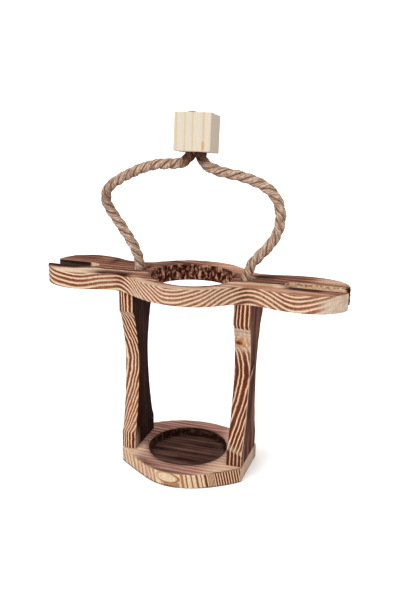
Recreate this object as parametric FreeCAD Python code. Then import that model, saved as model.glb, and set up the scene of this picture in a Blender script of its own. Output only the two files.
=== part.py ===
import FreeCAD, Part
import math
import os

# Stand of pine boards, millimetres, +Z up.
# Origin: on the floor, under the middle of the top board. X runs along the
# top board, Y from front to back.
#
# Pieces: base board with a round recess, two waisted uprights, wavy top board
# with a collar hole and two open stem slots, two rope legs that end in the top
# board and in a square grip block, four base screws, four pins.

os.makedirs("parts", exist_ok=True)

V = FreeCAD.Vector

# ---------------------------------------------------------------- dimensions
# base board: flat ends, bulged front and back
base_t = 16.0            # thickness
base_cx = -3.6           # middle of the base, a little left of the top board's
base_half_len = 65.0
base_back_end = 29.0     # the back corners
base_back_mid = 58.6     # the middle of the back bulge
# the front edge, sawn by hand a little flatter on the left
base_front = [(-68.6, -25.4), (-61.4, -30.6), (-54.6, -35.4), (-47.8, -40.1),
              (-40.8, -44.6), (-33.4, -49.2), (-26.4, -53.2), (-19.4, -56.1),
              (-12.4, -57.9), (-5.2, -58.7), (2.4, -58.6), (10.2, -57.3),
              (17.2, -55.3), (24.8, -52.3), (33.6, -47.9), (43.0, -41.9),
              (52.4, -34.8), (61.4, -26.4)]
recess_cx = -4.6
recess_cy = 0.0
recess_r = 40.5
recess_depth = 8.0

# uprights
up_bottom = base_t
up_top = 187.0
up_half = 25.0           # half depth in the straight ends
left_x0, left_x1 = -68.6, -53.2
right_x0, right_x1 = 44.6, 61.2      # at the foot
right_lean = 5.3         # how far its top stands out to the right
# half depth of the scooped middle, from the lower shoulder to the upper one
scoop = [(25.0, 33.5), (22.4, 39.5), (19.4, 50.5), (16.6, 64.0), (14.3, 79.0),
         (12.5, 96.0), (11.7, 110.5), (12.6, 124.5), (14.9, 138.0),
         (18.0, 150.5), (21.2, 160.8), (25.0, 166.5)]

# top board
top_t = 17.5
top_z0 = up_top
top_z1 = top_z0 + top_t
front = [(-153.4, -9.0), (-149.0, -18.0), (-141.5, -25.3), (-131.0, -30.5),
         (-118.0, -33.4), (-105.0, -32.6), (-92.0, -28.8), (-80.5, -25.6),
         (-69.5, -25.2), (-58.5, -29.2), (-47.0, -36.3), (-35.0, -43.2),
         (-22.0, -48.6), (-8.0, -51.2), (6.0, -51.2), (19.5, -48.6),
         (31.0, -43.2), (41.5, -35.6), (52.0, -28.4), (63.5, -25.2),
         (76.0, -26.0), (88.5, -29.6), (102.0, -32.0), (115.0, -32.3),
         (127.0, -30.8), (138.0, -26.6), (147.6, -20.0), (153.9, -11.0)]
back = [(152.9, 10.0), (148.3, 19.4), (139.5, 26.2), (129.0, 30.0),
        (117.0, 31.5), (104.0, 31.4), (91.0, 29.6), (79.0, 27.0),
        (68.0, 25.4), (59.0, 26.2), (50.0, 30.6), (41.0, 38.0),
        (31.0, 45.4), (19.0, 50.4), (5.0, 52.2), (-9.0, 51.6),
        (-23.0, 48.2), (-36.0, 41.6), (-47.0, 33.6), (-56.0, 27.6),
        (-65.0, 25.2), (-75.0, 25.8), (-85.0, 29.0), (-95.0, 32.8),
        (-106.0, 35.4), (-118.0, 35.8), (-130.2, 33.2), (-140.4, 27.4),
        (-147.0, 18.8), (-150.4, 9.0)]
end_left, end_right = -152.6, 154.9
collar_cx, collar_cy = 0.3, -0.8
collar_a, collar_b = 41.5, 38.2   # half widths of the hand-sawn hole, along X and Y
slot_y0, slot_y1 = -8.8, 7.0
slot_left_in = -101.0    # inner end of the left slot
slot_right_in = 93.0     # inner end of the right slot
mouth_r_left, mouth_r_right = 1.6, 0.9   # rounding where a slot opens at the board's end
rope_hole_r = 5.25
rope_hole_depth = 12.0
rope_x = (-55.0, 54.9)

# grip block: a cube that leans back a little on the ropes
block_c = (4.1, 0.0, 340.3)
block_s = 35.2
block_yaw, block_pitch, block_roll = 4.4, -10.0, -0.2
block_hole_r = 10.0
block_edge = 0.8

# rope
rope_d = 9.5
leg_gap = 4.9            # each leg's offset from the block's hole axis
edge_r = 1.2             # worn arrises of the boards

# fasteners
screw_d, screw_head_d, screw_head_h, screw_len = 4.0, 8.0, 2.4, 40.0
screw_sink = 0.6
screw_y = 14.0
pin_d, pin_head_d, pin_head_h, pin_len = 1.8, 2.8, 1.2, 40.0
pin_sink = 0.4
pin_y = 15.5
fit = 0.05               # wood stands clear of a fastener by this much


def spline(points, t0=None, t1=None, closed=False):
    c = Part.BSplineCurve()
    pts = [V(*p) for p in points]
    if closed:
        c.interpolate(Points=pts, PeriodicFlag=True)
    elif t0 is not None:
        c.interpolate(Points=pts, InitialTangent=V(*t0), FinalTangent=V(*t1))
    else:
        c.interpolate(pts)
    return c


def fillet(shape, edges, r):
    """Round the given edges, or return the shape as it is."""
    try:
        s = shape.makeFillet(r, edges)
        if s.isValid() and len(s.Solids) == 1:
            return s
    except Exception:
        pass
    print("fillet left out at r =", r)
    return shape


def flat_edges(shape, z, tol=1e-4):
    """The edges that lie wholly in the plane at height z."""
    return [e for e in shape.Edges
            if abs(e.BoundBox.ZMin - z) < tol and abs(e.BoundBox.ZMax - z) < tol]


# ------------------------------------------------------------------- base
def make_base():
    x0, x1 = base_cx - base_half_len, base_cx + base_half_len
    e, m = base_back_end, base_back_mid
    pts = [(x, y, 0.0) for x, y in base_front]
    front_edge = spline(pts).toShape()
    right = Part.LineSegment(V(*pts[-1]), V(x1, e, 0)).toShape()
    back_arc = Part.Arc(V(x1, e, 0), V(base_cx, m, 0), V(x0, e, 0)).toShape()
    left = Part.LineSegment(V(x0, e, 0), V(*pts[0])).toShape()
    s = Part.Face(Part.Wire([front_edge, right, back_arc, left])).extrude(V(0, 0, base_t))
    s = fillet(s, flat_edges(s, base_t) + flat_edges(s, 0.0), edge_r)
    s = s.cut(Part.makeCylinder(recess_r, recess_depth + 1,
                                V(recess_cx, recess_cy, base_t - recess_depth)))
    rim = [ed for ed in flat_edges(s, base_t) if ed.Length > 200 and
           abs(ed.BoundBox.Center.x - recess_cx) < 0.5 and
           ed.BoundBox.XLength < 2 * recess_r + 1]
    return fillet(s, rim, 0.8)


# ---------------------------------------------------------------- uprights
def upright_profile(z0, z1):
    """Closed outline in the YZ plane: straight ends and a scooped middle."""
    f = [(0.0, -y, z) for y, z in scoop]
    b = [(0.0, y, z) for y, z in reversed(scoop)]
    h, lo, hi = up_half, scoop[0][1], scoop[-1][1]
    def seg(a, c):
        return Part.LineSegment(V(*a), V(*c)).toShape()
    edges = [seg((0, -h, z0), (0, -h, lo)), spline(f).toShape(),
             seg((0, -h, hi), (0, -h, z1)), seg((0, -h, z1), (0, h, z1)),
             seg((0, h, z1), (0, h, hi)), spline(b).toShape(),
             seg((0, h, lo), (0, h, z0)), seg((0, h, z0), (0, -h, z0))]
    return Part.Face(Part.Wire(edges))


def make_upright(x0, x1, lean):
    ext = 4.0 if lean else 0.0
    s = upright_profile(up_bottom - ext, up_top + ext).extrude(V(x1 - x0, 0, 0))
    long_edges = [e for e in s.Edges
                  if abs(e.BoundBox.XLength) < 1e-4 and e.BoundBox.ZLength > 5]
    s = fillet(s, long_edges, 0.9)
    if lean:
        a = math.degrees(math.atan2(lean, up_top - up_bottom))
        s.rotate(V(0, 0, up_bottom), V(0, 1, 0), a)
    s.translate(V(x0, 0, 0))
    if lean:
        box = Part.makeBox(80, 80, up_top - up_bottom, V(x0 - 20, -40, up_bottom))
        s = s.common(box)
        s = s.Solids[0]
    return s


# --------------------------------------------------------------- top board
def make_top():
    pts = [(end_left, 0.0, 0.0)] + [(x, y, 0.0) for x, y in front]
    pts += [(end_right, 0.0, 0.0)] + [(x, y, 0.0) for x, y in back]
    edge = spline(pts, closed=True).toShape()
    s = Part.Face(Part.Wire([edge])).extrude(V(0, 0, top_t))
    s.translate(V(0, 0, top_z0))

    w = slot_y1 - slot_y0
    ym = (slot_y0 + slot_y1) / 2.0
    r = w / 2.0 - 0.5

    def slot(x_in, sign):
        """Open slot from x_in out past the board's end, inner end rounded."""
        cx = x_in + sign * r
        a = Part.Arc(V(cx, ym - r, 0), V(x_in, ym, 0), V(cx, ym + r, 0)).toShape()
        far = sign * 170.0
        e1 = Part.LineSegment(V(cx, ym + r, 0), V(cx + sign * 6, slot_y1, 0)).toShape()
        e2 = Part.LineSegment(V(cx + sign * 6, slot_y1, 0), V(far, slot_y1, 0)).toShape()
        e3 = Part.LineSegment(V(far, slot_y1, 0), V(far, slot_y0, 0)).toShape()
        e4 = Part.LineSegment(V(far, slot_y0, 0), V(cx + sign * 6, slot_y0, 0)).toShape()
        e5 = Part.LineSegment(V(cx + sign * 6, slot_y0, 0), V(cx, ym - r, 0)).toShape()
        t = Part.Face(Part.Wire([a, e1, e2, e3, e4, e5])).extrude(V(0, 0, top_t + 2))
        t.translate(V(0, 0, top_z0 - 1))
        return t

    s = s.cut(slot(slot_left_in, -1))
    s = s.cut(slot(slot_right_in, +1))
    s = s.Solids[0]
    for side, r in ((-1, mouth_r_left), (1, mouth_r_right)):
        mouths = [e for e in s.Edges if e.BoundBox.XLength < 1e-3 and e.BoundBox.YLength < 1e-3
                  and e.BoundBox.ZLength > top_t - 0.1 and side * e.BoundBox.XMin > 140
                  and slot_y0 - 1 < e.BoundBox.YMin < slot_y1 + 1]
        s = fillet(s, mouths, r)
    hole = Part.Ellipse(V(collar_cx, collar_cy, top_z0 - 1), collar_a, collar_b).toShape()
    s = s.cut(Part.Face(Part.Wire([hole])).extrude(V(0, 0, top_t + 2)))
    s = fillet(s, flat_edges(s, top_z1), edge_r)
    s = fillet(s, flat_edges(s, top_z0), 0.8)
    for x in rope_x:
        s = s.cut(Part.makeCylinder(rope_hole_r, rope_hole_depth + 1,
                                    V(x, 0, top_z1 - rope_hole_depth)))
    return s.Solids[0]


# ------------------------------------------------------------------- block
def block_place():
    r = FreeCAD.Rotation(V(0, 0, 1), block_yaw)
    r = r.multiply(FreeCAD.Rotation(V(1, 0, 0), block_pitch))
    r = r.multiply(FreeCAD.Rotation(V(0, 1, 0), block_roll))
    return FreeCAD.Placement(V(*block_c), r)


def in_block(x, y, z):
    """A point given in the block's own axes, from its centre."""
    return block_place().multVec(V(x, y, z))


def make_block():
    h = block_s / 2.0
    s = Part.makeBox(block_s, block_s, block_s, V(-h, -h, -h))
    s = fillet(s, s.Edges, block_edge)
    s = s.cut(Part.makeCylinder(block_hole_r, block_s + 2, V(0, 0, -h - 1)))
    s.Placement = block_place()
    return s


# -------------------------------------------------------------------- rope
def bp(x, y, z):
    p = in_block(x, y, z)
    return (p.x, p.y, p.z)


half = block_s / 2.0
route_left = [
    (-55.0, 0.0, top_z1 - rope_hole_depth), (-55.0, 0.0, 206.8),
    (-57.8, 0.0, 220.6), (-65.2, 0.0, 233.3), (-76.0, 0.0, 248.6),
    (-85.6, 0.0, 261.0), (-90.4, 0.0, 269.6), (-90.8, 0.0, 277.8),
    (-86.9, 0.0, 285.0), (-80.0, -0.2, 290.6), (-67.6, -0.6, 297.6),
    (-51.4, -1.3, 305.2), (-35.4, -2.2, 310.2), (-20.6, -3.0, 310.9),
    (-8.4, -3.6, 312.6),
    bp(-leg_gap, 0.0, -half - 3.4), bp(-leg_gap, -0.3, -half + 7.0),
    bp(-leg_gap, 0.9, -half + 19.0), bp(-leg_gap, -0.5, -half + 30.0),
    bp(-leg_gap, 0.3, half + 1.2)]
route_right = [
    (54.9, 0.0, top_z1 - rope_hole_depth), (54.9, 0.0, 206.2),
    (58.2, 0.0, 219.2), (67.6, 0.0, 229.4), (78.8, 0.0, 242.6),
    (84.8, 0.0, 254.6), (86.4, 0.0, 268.4), (83.5, 0.0, 281.8),
    (75.6, -0.2, 291.8), (63.8, -0.6, 298.4), (47.4, -1.4, 303.2),
    (31.6, -2.4, 305.6), (21.8, -3.2, 308.2), (14.4, -3.7, 311.6),
    bp(leg_gap, 0.0, -half - 5.2), bp(leg_gap, 0.3, -half + 4.0),
    bp(leg_gap, -0.9, -half + 16.0), bp(leg_gap, 0.6, -half + 27.0),
    bp(leg_gap, -0.2, half + 1.0)]


def tube(name, points, dia):
    """Round tube along straight runs that are joined by tangent arcs."""
    pts = [V(*p) for p in points]
    edges = []
    start = pts[0]
    radii = []
    length = 0.0
    for i in range(1, len(pts) - 1):
        a, b, c = pts[i - 1], pts[i], pts[i + 1]
        u, w = (b - a), (c - b)
        lu, lw = u.Length, w.Length
        u.normalize()
        w.normalize()
        turn = math.acos(max(-1.0, min(1.0, u.dot(w))))
        r = 0.45 * min(lu, lw) / math.tan(turn / 2.0)
        t = r * math.tan(turn / 2.0)
        p, q = b - u * t, b + w * t
        centre_dir = (w - u)
        centre_dir.normalize()
        mid = b + centre_dir * (r / math.cos(turn / 2.0) - r)
        edges.append(Part.LineSegment(start, p).toShape())
        edges.append(Part.Arc(p, mid, q).toShape())
        length += (p - start).Length + r * turn
        start = q
        radii.append(r)
    edges.append(Part.LineSegment(start, pts[-1]).toShape())
    length += (pts[-1] - start).Length
    wire = Part.Wire(edges)
    d = pts[1] - pts[0]
    ring = Part.Wire([Part.makeCircle(dia / 2.0, pts[0], d)])
    s = wire.makePipeShell([ring], True, False)
    if not s.isValid() or s.Volume < 0:
        print(name, "valid", s.isValid())
    vol = math.pi * dia * dia / 4.0 * length
    print("%s: length %.1f, volume / (section x length) %.4f" % (name, length, s.Volume / vol))
    print("   radii", " ".join("%.1f" % r for r in radii))
    print("   runs", " ".join("%.1f" % (pts[i + 1] - pts[i]).Length for i in range(len(pts) - 1)))
    return s


# --------------------------------------------------------------- fasteners
def screw_spots():
    lx = (left_x0 + left_x1) / 2.0
    rx = (right_x0 + right_x1) / 2.0 + 0.6
    return [(x, y) for x in (lx, rx) for y in (-screw_y, screw_y)]


def pin_spots():
    lx = (left_x0 + left_x1) / 2.0
    rx = (right_x0 + right_x1) / 2.0 + right_lean - 0.6
    return [(x, y) for x in (lx, rx) for y in (-pin_y, pin_y)]


def screw_solid(x, y, grow=0.0, through=False):
    """Countersunk screw, head down, standing in the base."""
    z = screw_sink
    rh, rs = screw_head_d / 2.0, screw_d / 2.0
    # radius and height pairs of the turned profile
    prof = [(0, z), (rh, z), (rs, z + screw_head_h), (rs, z + screw_len - 3.0), (0, z + screw_len)]
    if through:
        prof = [(0, -1), (rh + grow, -1), (rh + grow, z + grow * 0.4),
                (rs + grow, z + screw_head_h + grow * 0.4),
                (rs + grow, z + screw_len - 3.0), (0, z + screw_len + grow + 0.3)]
    w = Part.makePolygon([V(r, 0, h) for r, h in prof] + [V(prof[0][0], 0, prof[0][1])])
    s = Part.Face(w).revolve(V(0, 0, 0), V(0, 0, 1), 360)
    s.translate(V(x, y, 0))
    return s


def screw_with_recess(x, y):
    s = screw_solid(x, y)
    # cross recess in the head
    z = screw_sink - 0.2
    a = Part.makeBox(4.4, 1.0, 1.6, V(x - 2.2, y - 0.5, z))
    b = Part.makeBox(1.0, 4.4, 1.6, V(x - 0.5, y - 2.2, z))
    return s.cut(a.fuse(b))


def pin_solid(x, y, grow=0.0, through=False):
    z1 = top_z1 - pin_sink
    rh, rs = pin_head_d / 2.0, pin_d / 2.0
    prof = [(0, z1), (rh, z1), (rs, z1 - pin_head_h), (rs, z1 - pin_len + 2.0), (0, z1 - pin_len)]
    if through:
        prof = [(0, top_z1 + 1), (rh + grow, top_z1 + 1), (rh + grow, z1 - grow * 0.4),
                (rs + grow, z1 - pin_head_h - grow * 0.4),
                (rs + grow, z1 - pin_len + 2.0), (0, z1 - pin_len - grow - 0.2)]
    w = Part.makePolygon([V(r, 0, h) for r, h in prof] + [V(prof[0][0], 0, prof[0][1])])
    s = Part.Face(w).revolve(V(0, 0, 0), V(0, 0, 1), 360)
    s.translate(V(x, y, 0))
    return s


# ---------------------------------------------------------------- assembly
base = make_base()
left = make_upright(left_x0, left_x1, 0.0)
right = make_upright(right_x0, right_x1, right_lean)
top = make_top()
block = make_block()
rope_l = tube("rope_left", route_left, rope_d)
rope_r = tube("rope_right", route_right, rope_d)

for x, y in screw_spots():
    hole = screw_solid(x, y, fit, True)
    base = base.cut(hole)
    left = left.cut(hole)
    right = right.cut(hole)
for x, y in pin_spots():
    hole = pin_solid(x, y, fit, True)
    top = top.cut(hole)
    left = left.cut(hole)
    right = right.cut(hole)
screws = Part.makeCompound([screw_with_recess(x, y) for x, y in screw_spots()])
pins = Part.makeCompound([pin_solid(x, y) for x, y in pin_spots()])

nodes = {
    "base_board": base, "left_upright": left, "right_upright": right,
    "top_board": top, "grip_block": block, "rope_left": rope_l,
    "rope_right": rope_r, "base_screws": screws, "top_pins": pins,
}
for name, shape in nodes.items():
    if name not in ("base_screws", "top_pins"):
        if len(shape.Solids) != 1:
            print("solids in", name, len(shape.Solids))
        shape = shape.Solids[0]
    shape.exportStep("parts/%s.step" % name)
    bb = shape.BoundBox
    print("%-14s %-5s vol %9.0f  x %.1f %.1f  y %.1f %.1f  z %.1f %.1f" % (
        name, shape.isValid(), shape.Volume, bb.XMin, bb.XMax, bb.YMin, bb.YMax,
        bb.ZMin, bb.ZMax))
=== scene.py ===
import bpy, math
import numpy as np
from mathutils import Vector, Matrix
from mathutils.geometry import delaunay_2d_cdt


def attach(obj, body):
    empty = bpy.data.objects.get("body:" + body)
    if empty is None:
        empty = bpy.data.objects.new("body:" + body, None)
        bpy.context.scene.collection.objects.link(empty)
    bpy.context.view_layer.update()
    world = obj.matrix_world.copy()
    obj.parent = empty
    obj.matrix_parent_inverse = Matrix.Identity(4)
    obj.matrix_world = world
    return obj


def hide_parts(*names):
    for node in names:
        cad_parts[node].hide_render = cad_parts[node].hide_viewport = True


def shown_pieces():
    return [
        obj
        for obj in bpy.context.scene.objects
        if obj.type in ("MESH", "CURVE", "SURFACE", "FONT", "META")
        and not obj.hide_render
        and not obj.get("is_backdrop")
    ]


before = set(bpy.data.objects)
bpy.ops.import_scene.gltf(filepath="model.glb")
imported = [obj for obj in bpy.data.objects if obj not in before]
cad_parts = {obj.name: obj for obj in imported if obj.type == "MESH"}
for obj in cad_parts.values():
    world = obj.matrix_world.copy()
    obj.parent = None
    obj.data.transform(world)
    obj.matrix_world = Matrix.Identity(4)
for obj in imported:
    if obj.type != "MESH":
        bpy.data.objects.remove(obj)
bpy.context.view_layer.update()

scene = bpy.context.scene
scene.view_settings.view_transform = "Standard"
rng = np.random.default_rng(7)
MM = 0.001

# ------------------------------------------------------------------ camera
cam_data = bpy.data.cameras.new("camera")
cam_data.lens = 792.0 * 36.0 / 601.0
cam_data.sensor_width = 36.0
cam_data.sensor_fit = "AUTO"
cam_data.clip_start, cam_data.clip_end = 0.01, 50.0
cam = bpy.data.objects.new("camera", cam_data)
c_pos = Vector((248.58, -701.86, 419.87)) * MM
c_fwd = Vector((-0.3078179, 0.89956512, -0.30988827))
c_up = Vector((-0.10542605, 0.29144871, 0.95075917))
c_right = c_fwd.cross(c_up).normalized()
c_up = c_right.cross(c_fwd).normalized()
rot = Matrix((c_right, c_up, -c_fwd)).transposed()
cam.matrix_world = Matrix.Translation(c_pos) @ rot.to_4x4()
scene.collection.objects.link(cam)
scene.camera = cam


# ------------------------------------------------------------ small helpers
K = 0.60     # how much light the studio gives, so that colours are those seen under it


def lin(r, g, b):
    """sRGB 0-255 to linear."""
    def f(v):
        v = v / 255.0
        return K * (v / 12.92 if v <= 0.04045 else ((v + 0.055) / 1.055) ** 2.4)
    return (f(r), f(g), f(b), 1.0)


def smooth(a, b, x):
    t = np.clip((x - a) / (b - a), 0.0, 1.0)
    return t * t * (3.0 - 2.0 * t)


def gauss(x, c, w):
    return np.exp(-((x - c) / w) ** 2)


def blob(x, y, cx, cy, wx, wy, k=2):
    return np.exp(-(np.abs((x - cx) / wx) ** k + np.abs((y - cy) / wy) ** k))


def stripe(x, y, pts, w, soft=4.0):
    """A soft line across a broad face, through the points (x, y)."""
    a = np.array(pts, float)
    c = np.interp(x, a[:, 0], a[:, 1]) + 0.5 * np.sin(x / 4.3) + 0.3 * np.sin(x / 1.9 + 1.0)
    on = smooth(a[0, 0] - soft, a[0, 0] + soft, x) * smooth(a[-1, 0] + soft, a[-1, 0] - soft, x)
    return on * np.exp(-((y - c) / w) ** 2)


def vnoise(p, seed):
    """Value noise in 0..1 at the points p (n, 3)."""
    i = np.floor(p).astype(np.int64)
    f = p - i
    f = f * f * (3.0 - 2.0 * f)

    def h(dx, dy, dz):
        n = ((i[:, 0] + dx) * 374761393 + (i[:, 1] + dy) * 668265263
             + (i[:, 2] + dz) * 1442695041 + seed * 974634777) & 0xFFFFFFFF
        n = ((n ^ (n >> 13)) * 1274126177) & 0xFFFFFFFF
        n = n ^ (n >> 16)
        return (n & 0xFFFFFF) / float(0xFFFFFF)
    x, y, z = f[:, 0], f[:, 1], f[:, 2]
    a = h(0, 0, 0) * (1 - x) + h(1, 0, 0) * x
    b = h(0, 1, 0) * (1 - x) + h(1, 1, 0) * x
    c = h(0, 0, 1) * (1 - x) + h(1, 0, 1) * x
    d = h(0, 1, 1) * (1 - x) + h(1, 1, 1) * x
    return (a * (1 - y) + b * y) * (1 - z) + (c * (1 - y) + d * y) * z


def fbm(p, seed, octaves=3):
    s, t, w = 0.0, 0.0, 1.0
    for k in range(octaves):
        s = s + w * vnoise(p * (2.03 ** k) + 17.3 * k, seed + k)
        t += w
        w *= 0.5
    return s / t


def cubic(points, n):
    """Natural cubic spline through 2-D or 3-D points, n samples between each pair."""
    P = np.array(points, float)
    t = np.concatenate([[0], np.cumsum(np.linalg.norm(np.diff(P, axis=0), axis=1))])
    m = len(P)
    h = np.diff(t)
    A = np.zeros((m, m))
    B = np.zeros((m, P.shape[1]))
    A[0, 0] = A[-1, -1] = 1
    for k in range(1, m - 1):
        A[k, k - 1], A[k, k], A[k, k + 1] = h[k - 1], 2 * (h[k - 1] + h[k]), h[k]
        B[k] = 6 * ((P[k + 1] - P[k]) / h[k] - (P[k] - P[k - 1]) / h[k - 1])
    M = np.linalg.solve(A, B)
    out = []
    for k in range(m - 1):
        s = np.linspace(0, h[k], n, endpoint=False)[:, None]
        a, b = P[k], (P[k + 1] - P[k]) / h[k] - h[k] * (2 * M[k] + M[k + 1]) / 6
        out.append(a + b * s + M[k] / 2 * s ** 2 + (M[k + 1] - M[k]) / (6 * h[k]) * s ** 3)
    out.append(P[-1:])
    return np.concatenate(out)


def resample(P, ds, closed=False):
    """Evenly spaced points along a polyline."""
    P = np.asarray(P, float)
    if closed:
        P = np.vstack([P, P[:1]])
    d = np.linalg.norm(np.diff(P, axis=0), axis=1)
    keep = np.concatenate([[True], d > 1e-7])
    P = P[keep]
    t = np.concatenate([[0], np.cumsum(np.linalg.norm(np.diff(P, axis=0), axis=1))])
    n = max(3 if closed else 1, int(round(t[-1] / ds)))
    s = np.linspace(0, t[-1], n + 1)
    out = np.stack([np.interp(s, t, P[:, k]) for k in range(P.shape[1])], 1)
    return out[:-1] if closed else out


def area(L):
    x, y = L[:, 0], L[:, 1]
    return 0.5 * float(np.sum(x * np.roll(y, -1) - np.roll(x, -1) * y))


def inside(q, loops):
    """Even-odd test of the points q against closed loops."""
    r = np.zeros(len(q), bool)
    for L in loops:
        a, b = L, np.roll(L, -1, 0)
        for k in range(0, len(q), 4000):
            x, y = q[k:k + 4000, 0:1], q[k:k + 4000, 1:2]
            c = (a[None, :, 1] > y) != (b[None, :, 1] > y)
            dy = b[:, 1] - a[:, 1]
            dy = np.where(np.abs(dy) < 1e-12, 1e-12, dy)
            xi = a[None, :, 0] + (y - a[None, :, 1]) * ((b[:, 0] - a[:, 0]) / dy)[None]
            r[k:k + 4000] ^= (np.sum(c & (x < xi), 1) % 2).astype(bool)
    return r


def near(q, B, dist):
    """True where a point of q is nearer than dist to one of B."""
    r = np.zeros(len(q), bool)
    for k in range(0, len(q), 2000):
        d = (q[k:k + 2000, None, 0] - B[None, :, 0]) ** 2 + (q[k:k + 2000, None, 1] - B[None, :, 1]) ** 2
        r[k:k + 2000] = d.min(1) < dist * dist
    return r


class Builder:
    """Collects vertices with their outward normals, and faces."""

    def __init__(self):
        self.P, self.N, self.F, self.n = [], [], [], 0

    def add(self, P, N):
        P, N = np.asarray(P, float), np.asarray(N, float)
        self.P.append(P)
        self.N.append(N)
        i = self.n
        self.n += len(P)
        return i

    def grid(self, first, count, rings, closed=True, flip=False):
        """Quads between rings of count vertices each, the rings given by their first index."""
        for k in range(len(rings) - 1):
            a, b = rings[k], rings[k + 1]
            m = count if closed else count - 1
            for i in range(m):
                j = (i + 1) % count
                f = (a + i, b + i, b + j, a + j)
                self.F.append(f[::-1] if flip else f)

    def cap(self, loops, idx, z, normal, step, jitter=0.25):
        """Triangles over the region that the loops bound, at height z. idx holds each loop's vertex numbers."""
        L = [np.asarray(x, float) for x in loops]
        allp = np.vstack(L)
        lo, hi = allp.min(0), allp.max(0)
        xs = np.arange(lo[0], hi[0], step)
        ys = np.arange(lo[1], hi[1], step * 0.866)
        g = np.stack(np.meshgrid(xs, ys), -1)
        g[1::2, :, 0] += step / 2
        g = g.reshape(-1, 2)
        g = g + rng.uniform(-jitter, jitter, g.shape) * step
        g = g[inside(g, L)]
        g = g[~near(g, allp, step * 0.62)]
        pts = [Vector((float(x), float(y))) for x, y in allp] + [Vector((float(x), float(y))) for x, y in g]
        edges, k = [], 0
        for x in L:
            m = len(x)
            edges += [(k + i, k + (i + 1) % m) for i in range(m)]
            k += m
        nz = 1.0 if normal > 0 else -1.0
        first = self.add(np.column_stack([g, np.full(len(g), z)]),
                         np.tile([0.0, 0.0, nz], (len(g), 1)))
        number = list(np.concatenate(idx)) + list(range(first, first + len(g)))
        v, e, f, ov, oe, of = delaunay_2d_cdt(pts, edges, [], 0, 1e-6)
        back = [number[o[0]] if len(o) else -1 for o in ov]
        mid = np.array([[sum(v[i][c] for i in t) / len(t) for c in (0, 1)] for t in f])
        for t, kept in zip(f, inside(mid, L)):
            if not kept:
                continue
            t = [back[i] for i in t]
            if -1 in t or len(set(t)) < 3:
                continue
            self.F.append(tuple(t) if nz > 0 else tuple(t[::-1]))

    def arrays(self):
        return np.vstack(self.P), np.vstack(self.N)


def outward(L):
    """Outward normals of a loop that runs anticlockwise round the solid, clockwise round a hole."""
    t = np.roll(L, -1, 0) - np.roll(L, 1, 0)
    t /= np.maximum(np.linalg.norm(t, axis=1, keepdims=True), 1e-12)
    return np.column_stack([t[:, 1], -t[:, 0]])


def even(L, ds):
    n = max(2, int(round(L / ds)))
    return np.linspace(0, L, n + 1)


def board(loops, z0, z1, r_top, r_bot, ds_z, step_top, step_bot, blind=()):
    """A board: loops[0] is the outline, the rest are holes, all in mm. blind holds (loop, depth, rounding) of
    hollows from the top."""
    b = Builder()
    top_loops, top_idx, bot_loops, bot_idx = [], [], [], []
    for k, L in enumerate(loops):
        if (area(L) > 0) != (k == 0):
            L = L[::-1]
        n2 = outward(L)
        prof = []
        for a in np.linspace(0, math.pi / 2, 5):
            prof.append((r_top * (1 - math.sin(a)), z1 - r_top * (1 - math.cos(a)), math.cos(a), math.sin(a)))
        for s in even(z1 - z0 - r_top - r_bot, ds_z)[1:-1]:
            prof.append((0.0, z1 - r_top - s, 0.0, 1.0))
        for a in np.linspace(0, math.pi / 2, 5):
            prof.append((r_bot * (1 - math.cos(a)), z0 + r_bot * (1 - math.sin(a)), -math.sin(a), math.cos(a)))
        rings = []
        for inset, z, nz, nr in prof:
            P = np.column_stack([L - n2 * inset, np.full(len(L), z)])
            N = np.column_stack([n2 * nr, np.full(len(L), nz)])
            rings.append(b.add(P, N))
        b.grid(0, len(L), rings)
        top_loops.append(L - n2 * r_top)
        top_idx.append(np.arange(rings[0], rings[0] + len(L)))
        bot_loops.append(L - n2 * r_bot)
        bot_idx.append(np.arange(rings[-1], rings[-1] + len(L)))
    for L, depth, r in blind:
        if area(L) > 0:
            L = L[::-1]
        n2 = outward(L)
        prof = []
        for a in np.linspace(0, math.pi / 2, 4):
            prof.append((r * (1 - math.sin(a)), z1 - r * (1 - math.cos(a)), math.cos(a), math.sin(a)))
        for s in even(depth - r, ds_z)[1:]:
            prof.append((0.0, z1 - r - s, 0.0, 1.0))
        rings = []
        for inset, z, nz, nr in prof:
            P = np.column_stack([L - n2 * inset, np.full(len(L), z)])
            N = np.column_stack([n2 * nr, np.full(len(L), nz)])
            rings.append(b.add(P, N))
        b.grid(0, len(L), rings)
        top_loops.append(L - n2 * r)
        top_idx.append(np.arange(rings[0], rings[0] + len(L)))
        b.cap([L], [np.arange(rings[-1], rings[-1] + len(L))], z1 - depth, 1, step_top * 1.6)
    b.cap(top_loops, top_idx, z1, 1, step_top)
    b.cap(bot_loops, bot_idx, z0, -1, step_bot)
    return b


def make_object(name, P, F, attrs, mat, sharp=None):
    """A mesh object from points in mm."""
    me = bpy.data.meshes.new(name)
    me.from_pydata((np.asarray(P) * MM).tolist(), [], [tuple(int(i) for i in f) for f in F])
    me.validate(verbose=False)
    for k, v in attrs.items():
        a = me.attributes.new(k, "FLOAT", "POINT")
        a.data.foreach_set("value", np.ascontiguousarray(v, dtype=np.float32))
    me.polygons.foreach_set("use_smooth", np.ones(len(me.polygons), bool))
    if sharp:
        me.set_sharp_from_angle(angle=math.radians(sharp))
    me.materials.append(mat)
    me.update()
    o = bpy.data.objects.new(name, me)
    scene.collection.objects.link(o)
    return o


def circle(cx, cy, r, ds):
    n = int(round(2 * math.pi * r / ds))
    a = np.linspace(0, 2 * math.pi, n, endpoint=False)
    return np.column_stack([cx + r * np.cos(a), cy + r * np.sin(a)])


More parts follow.
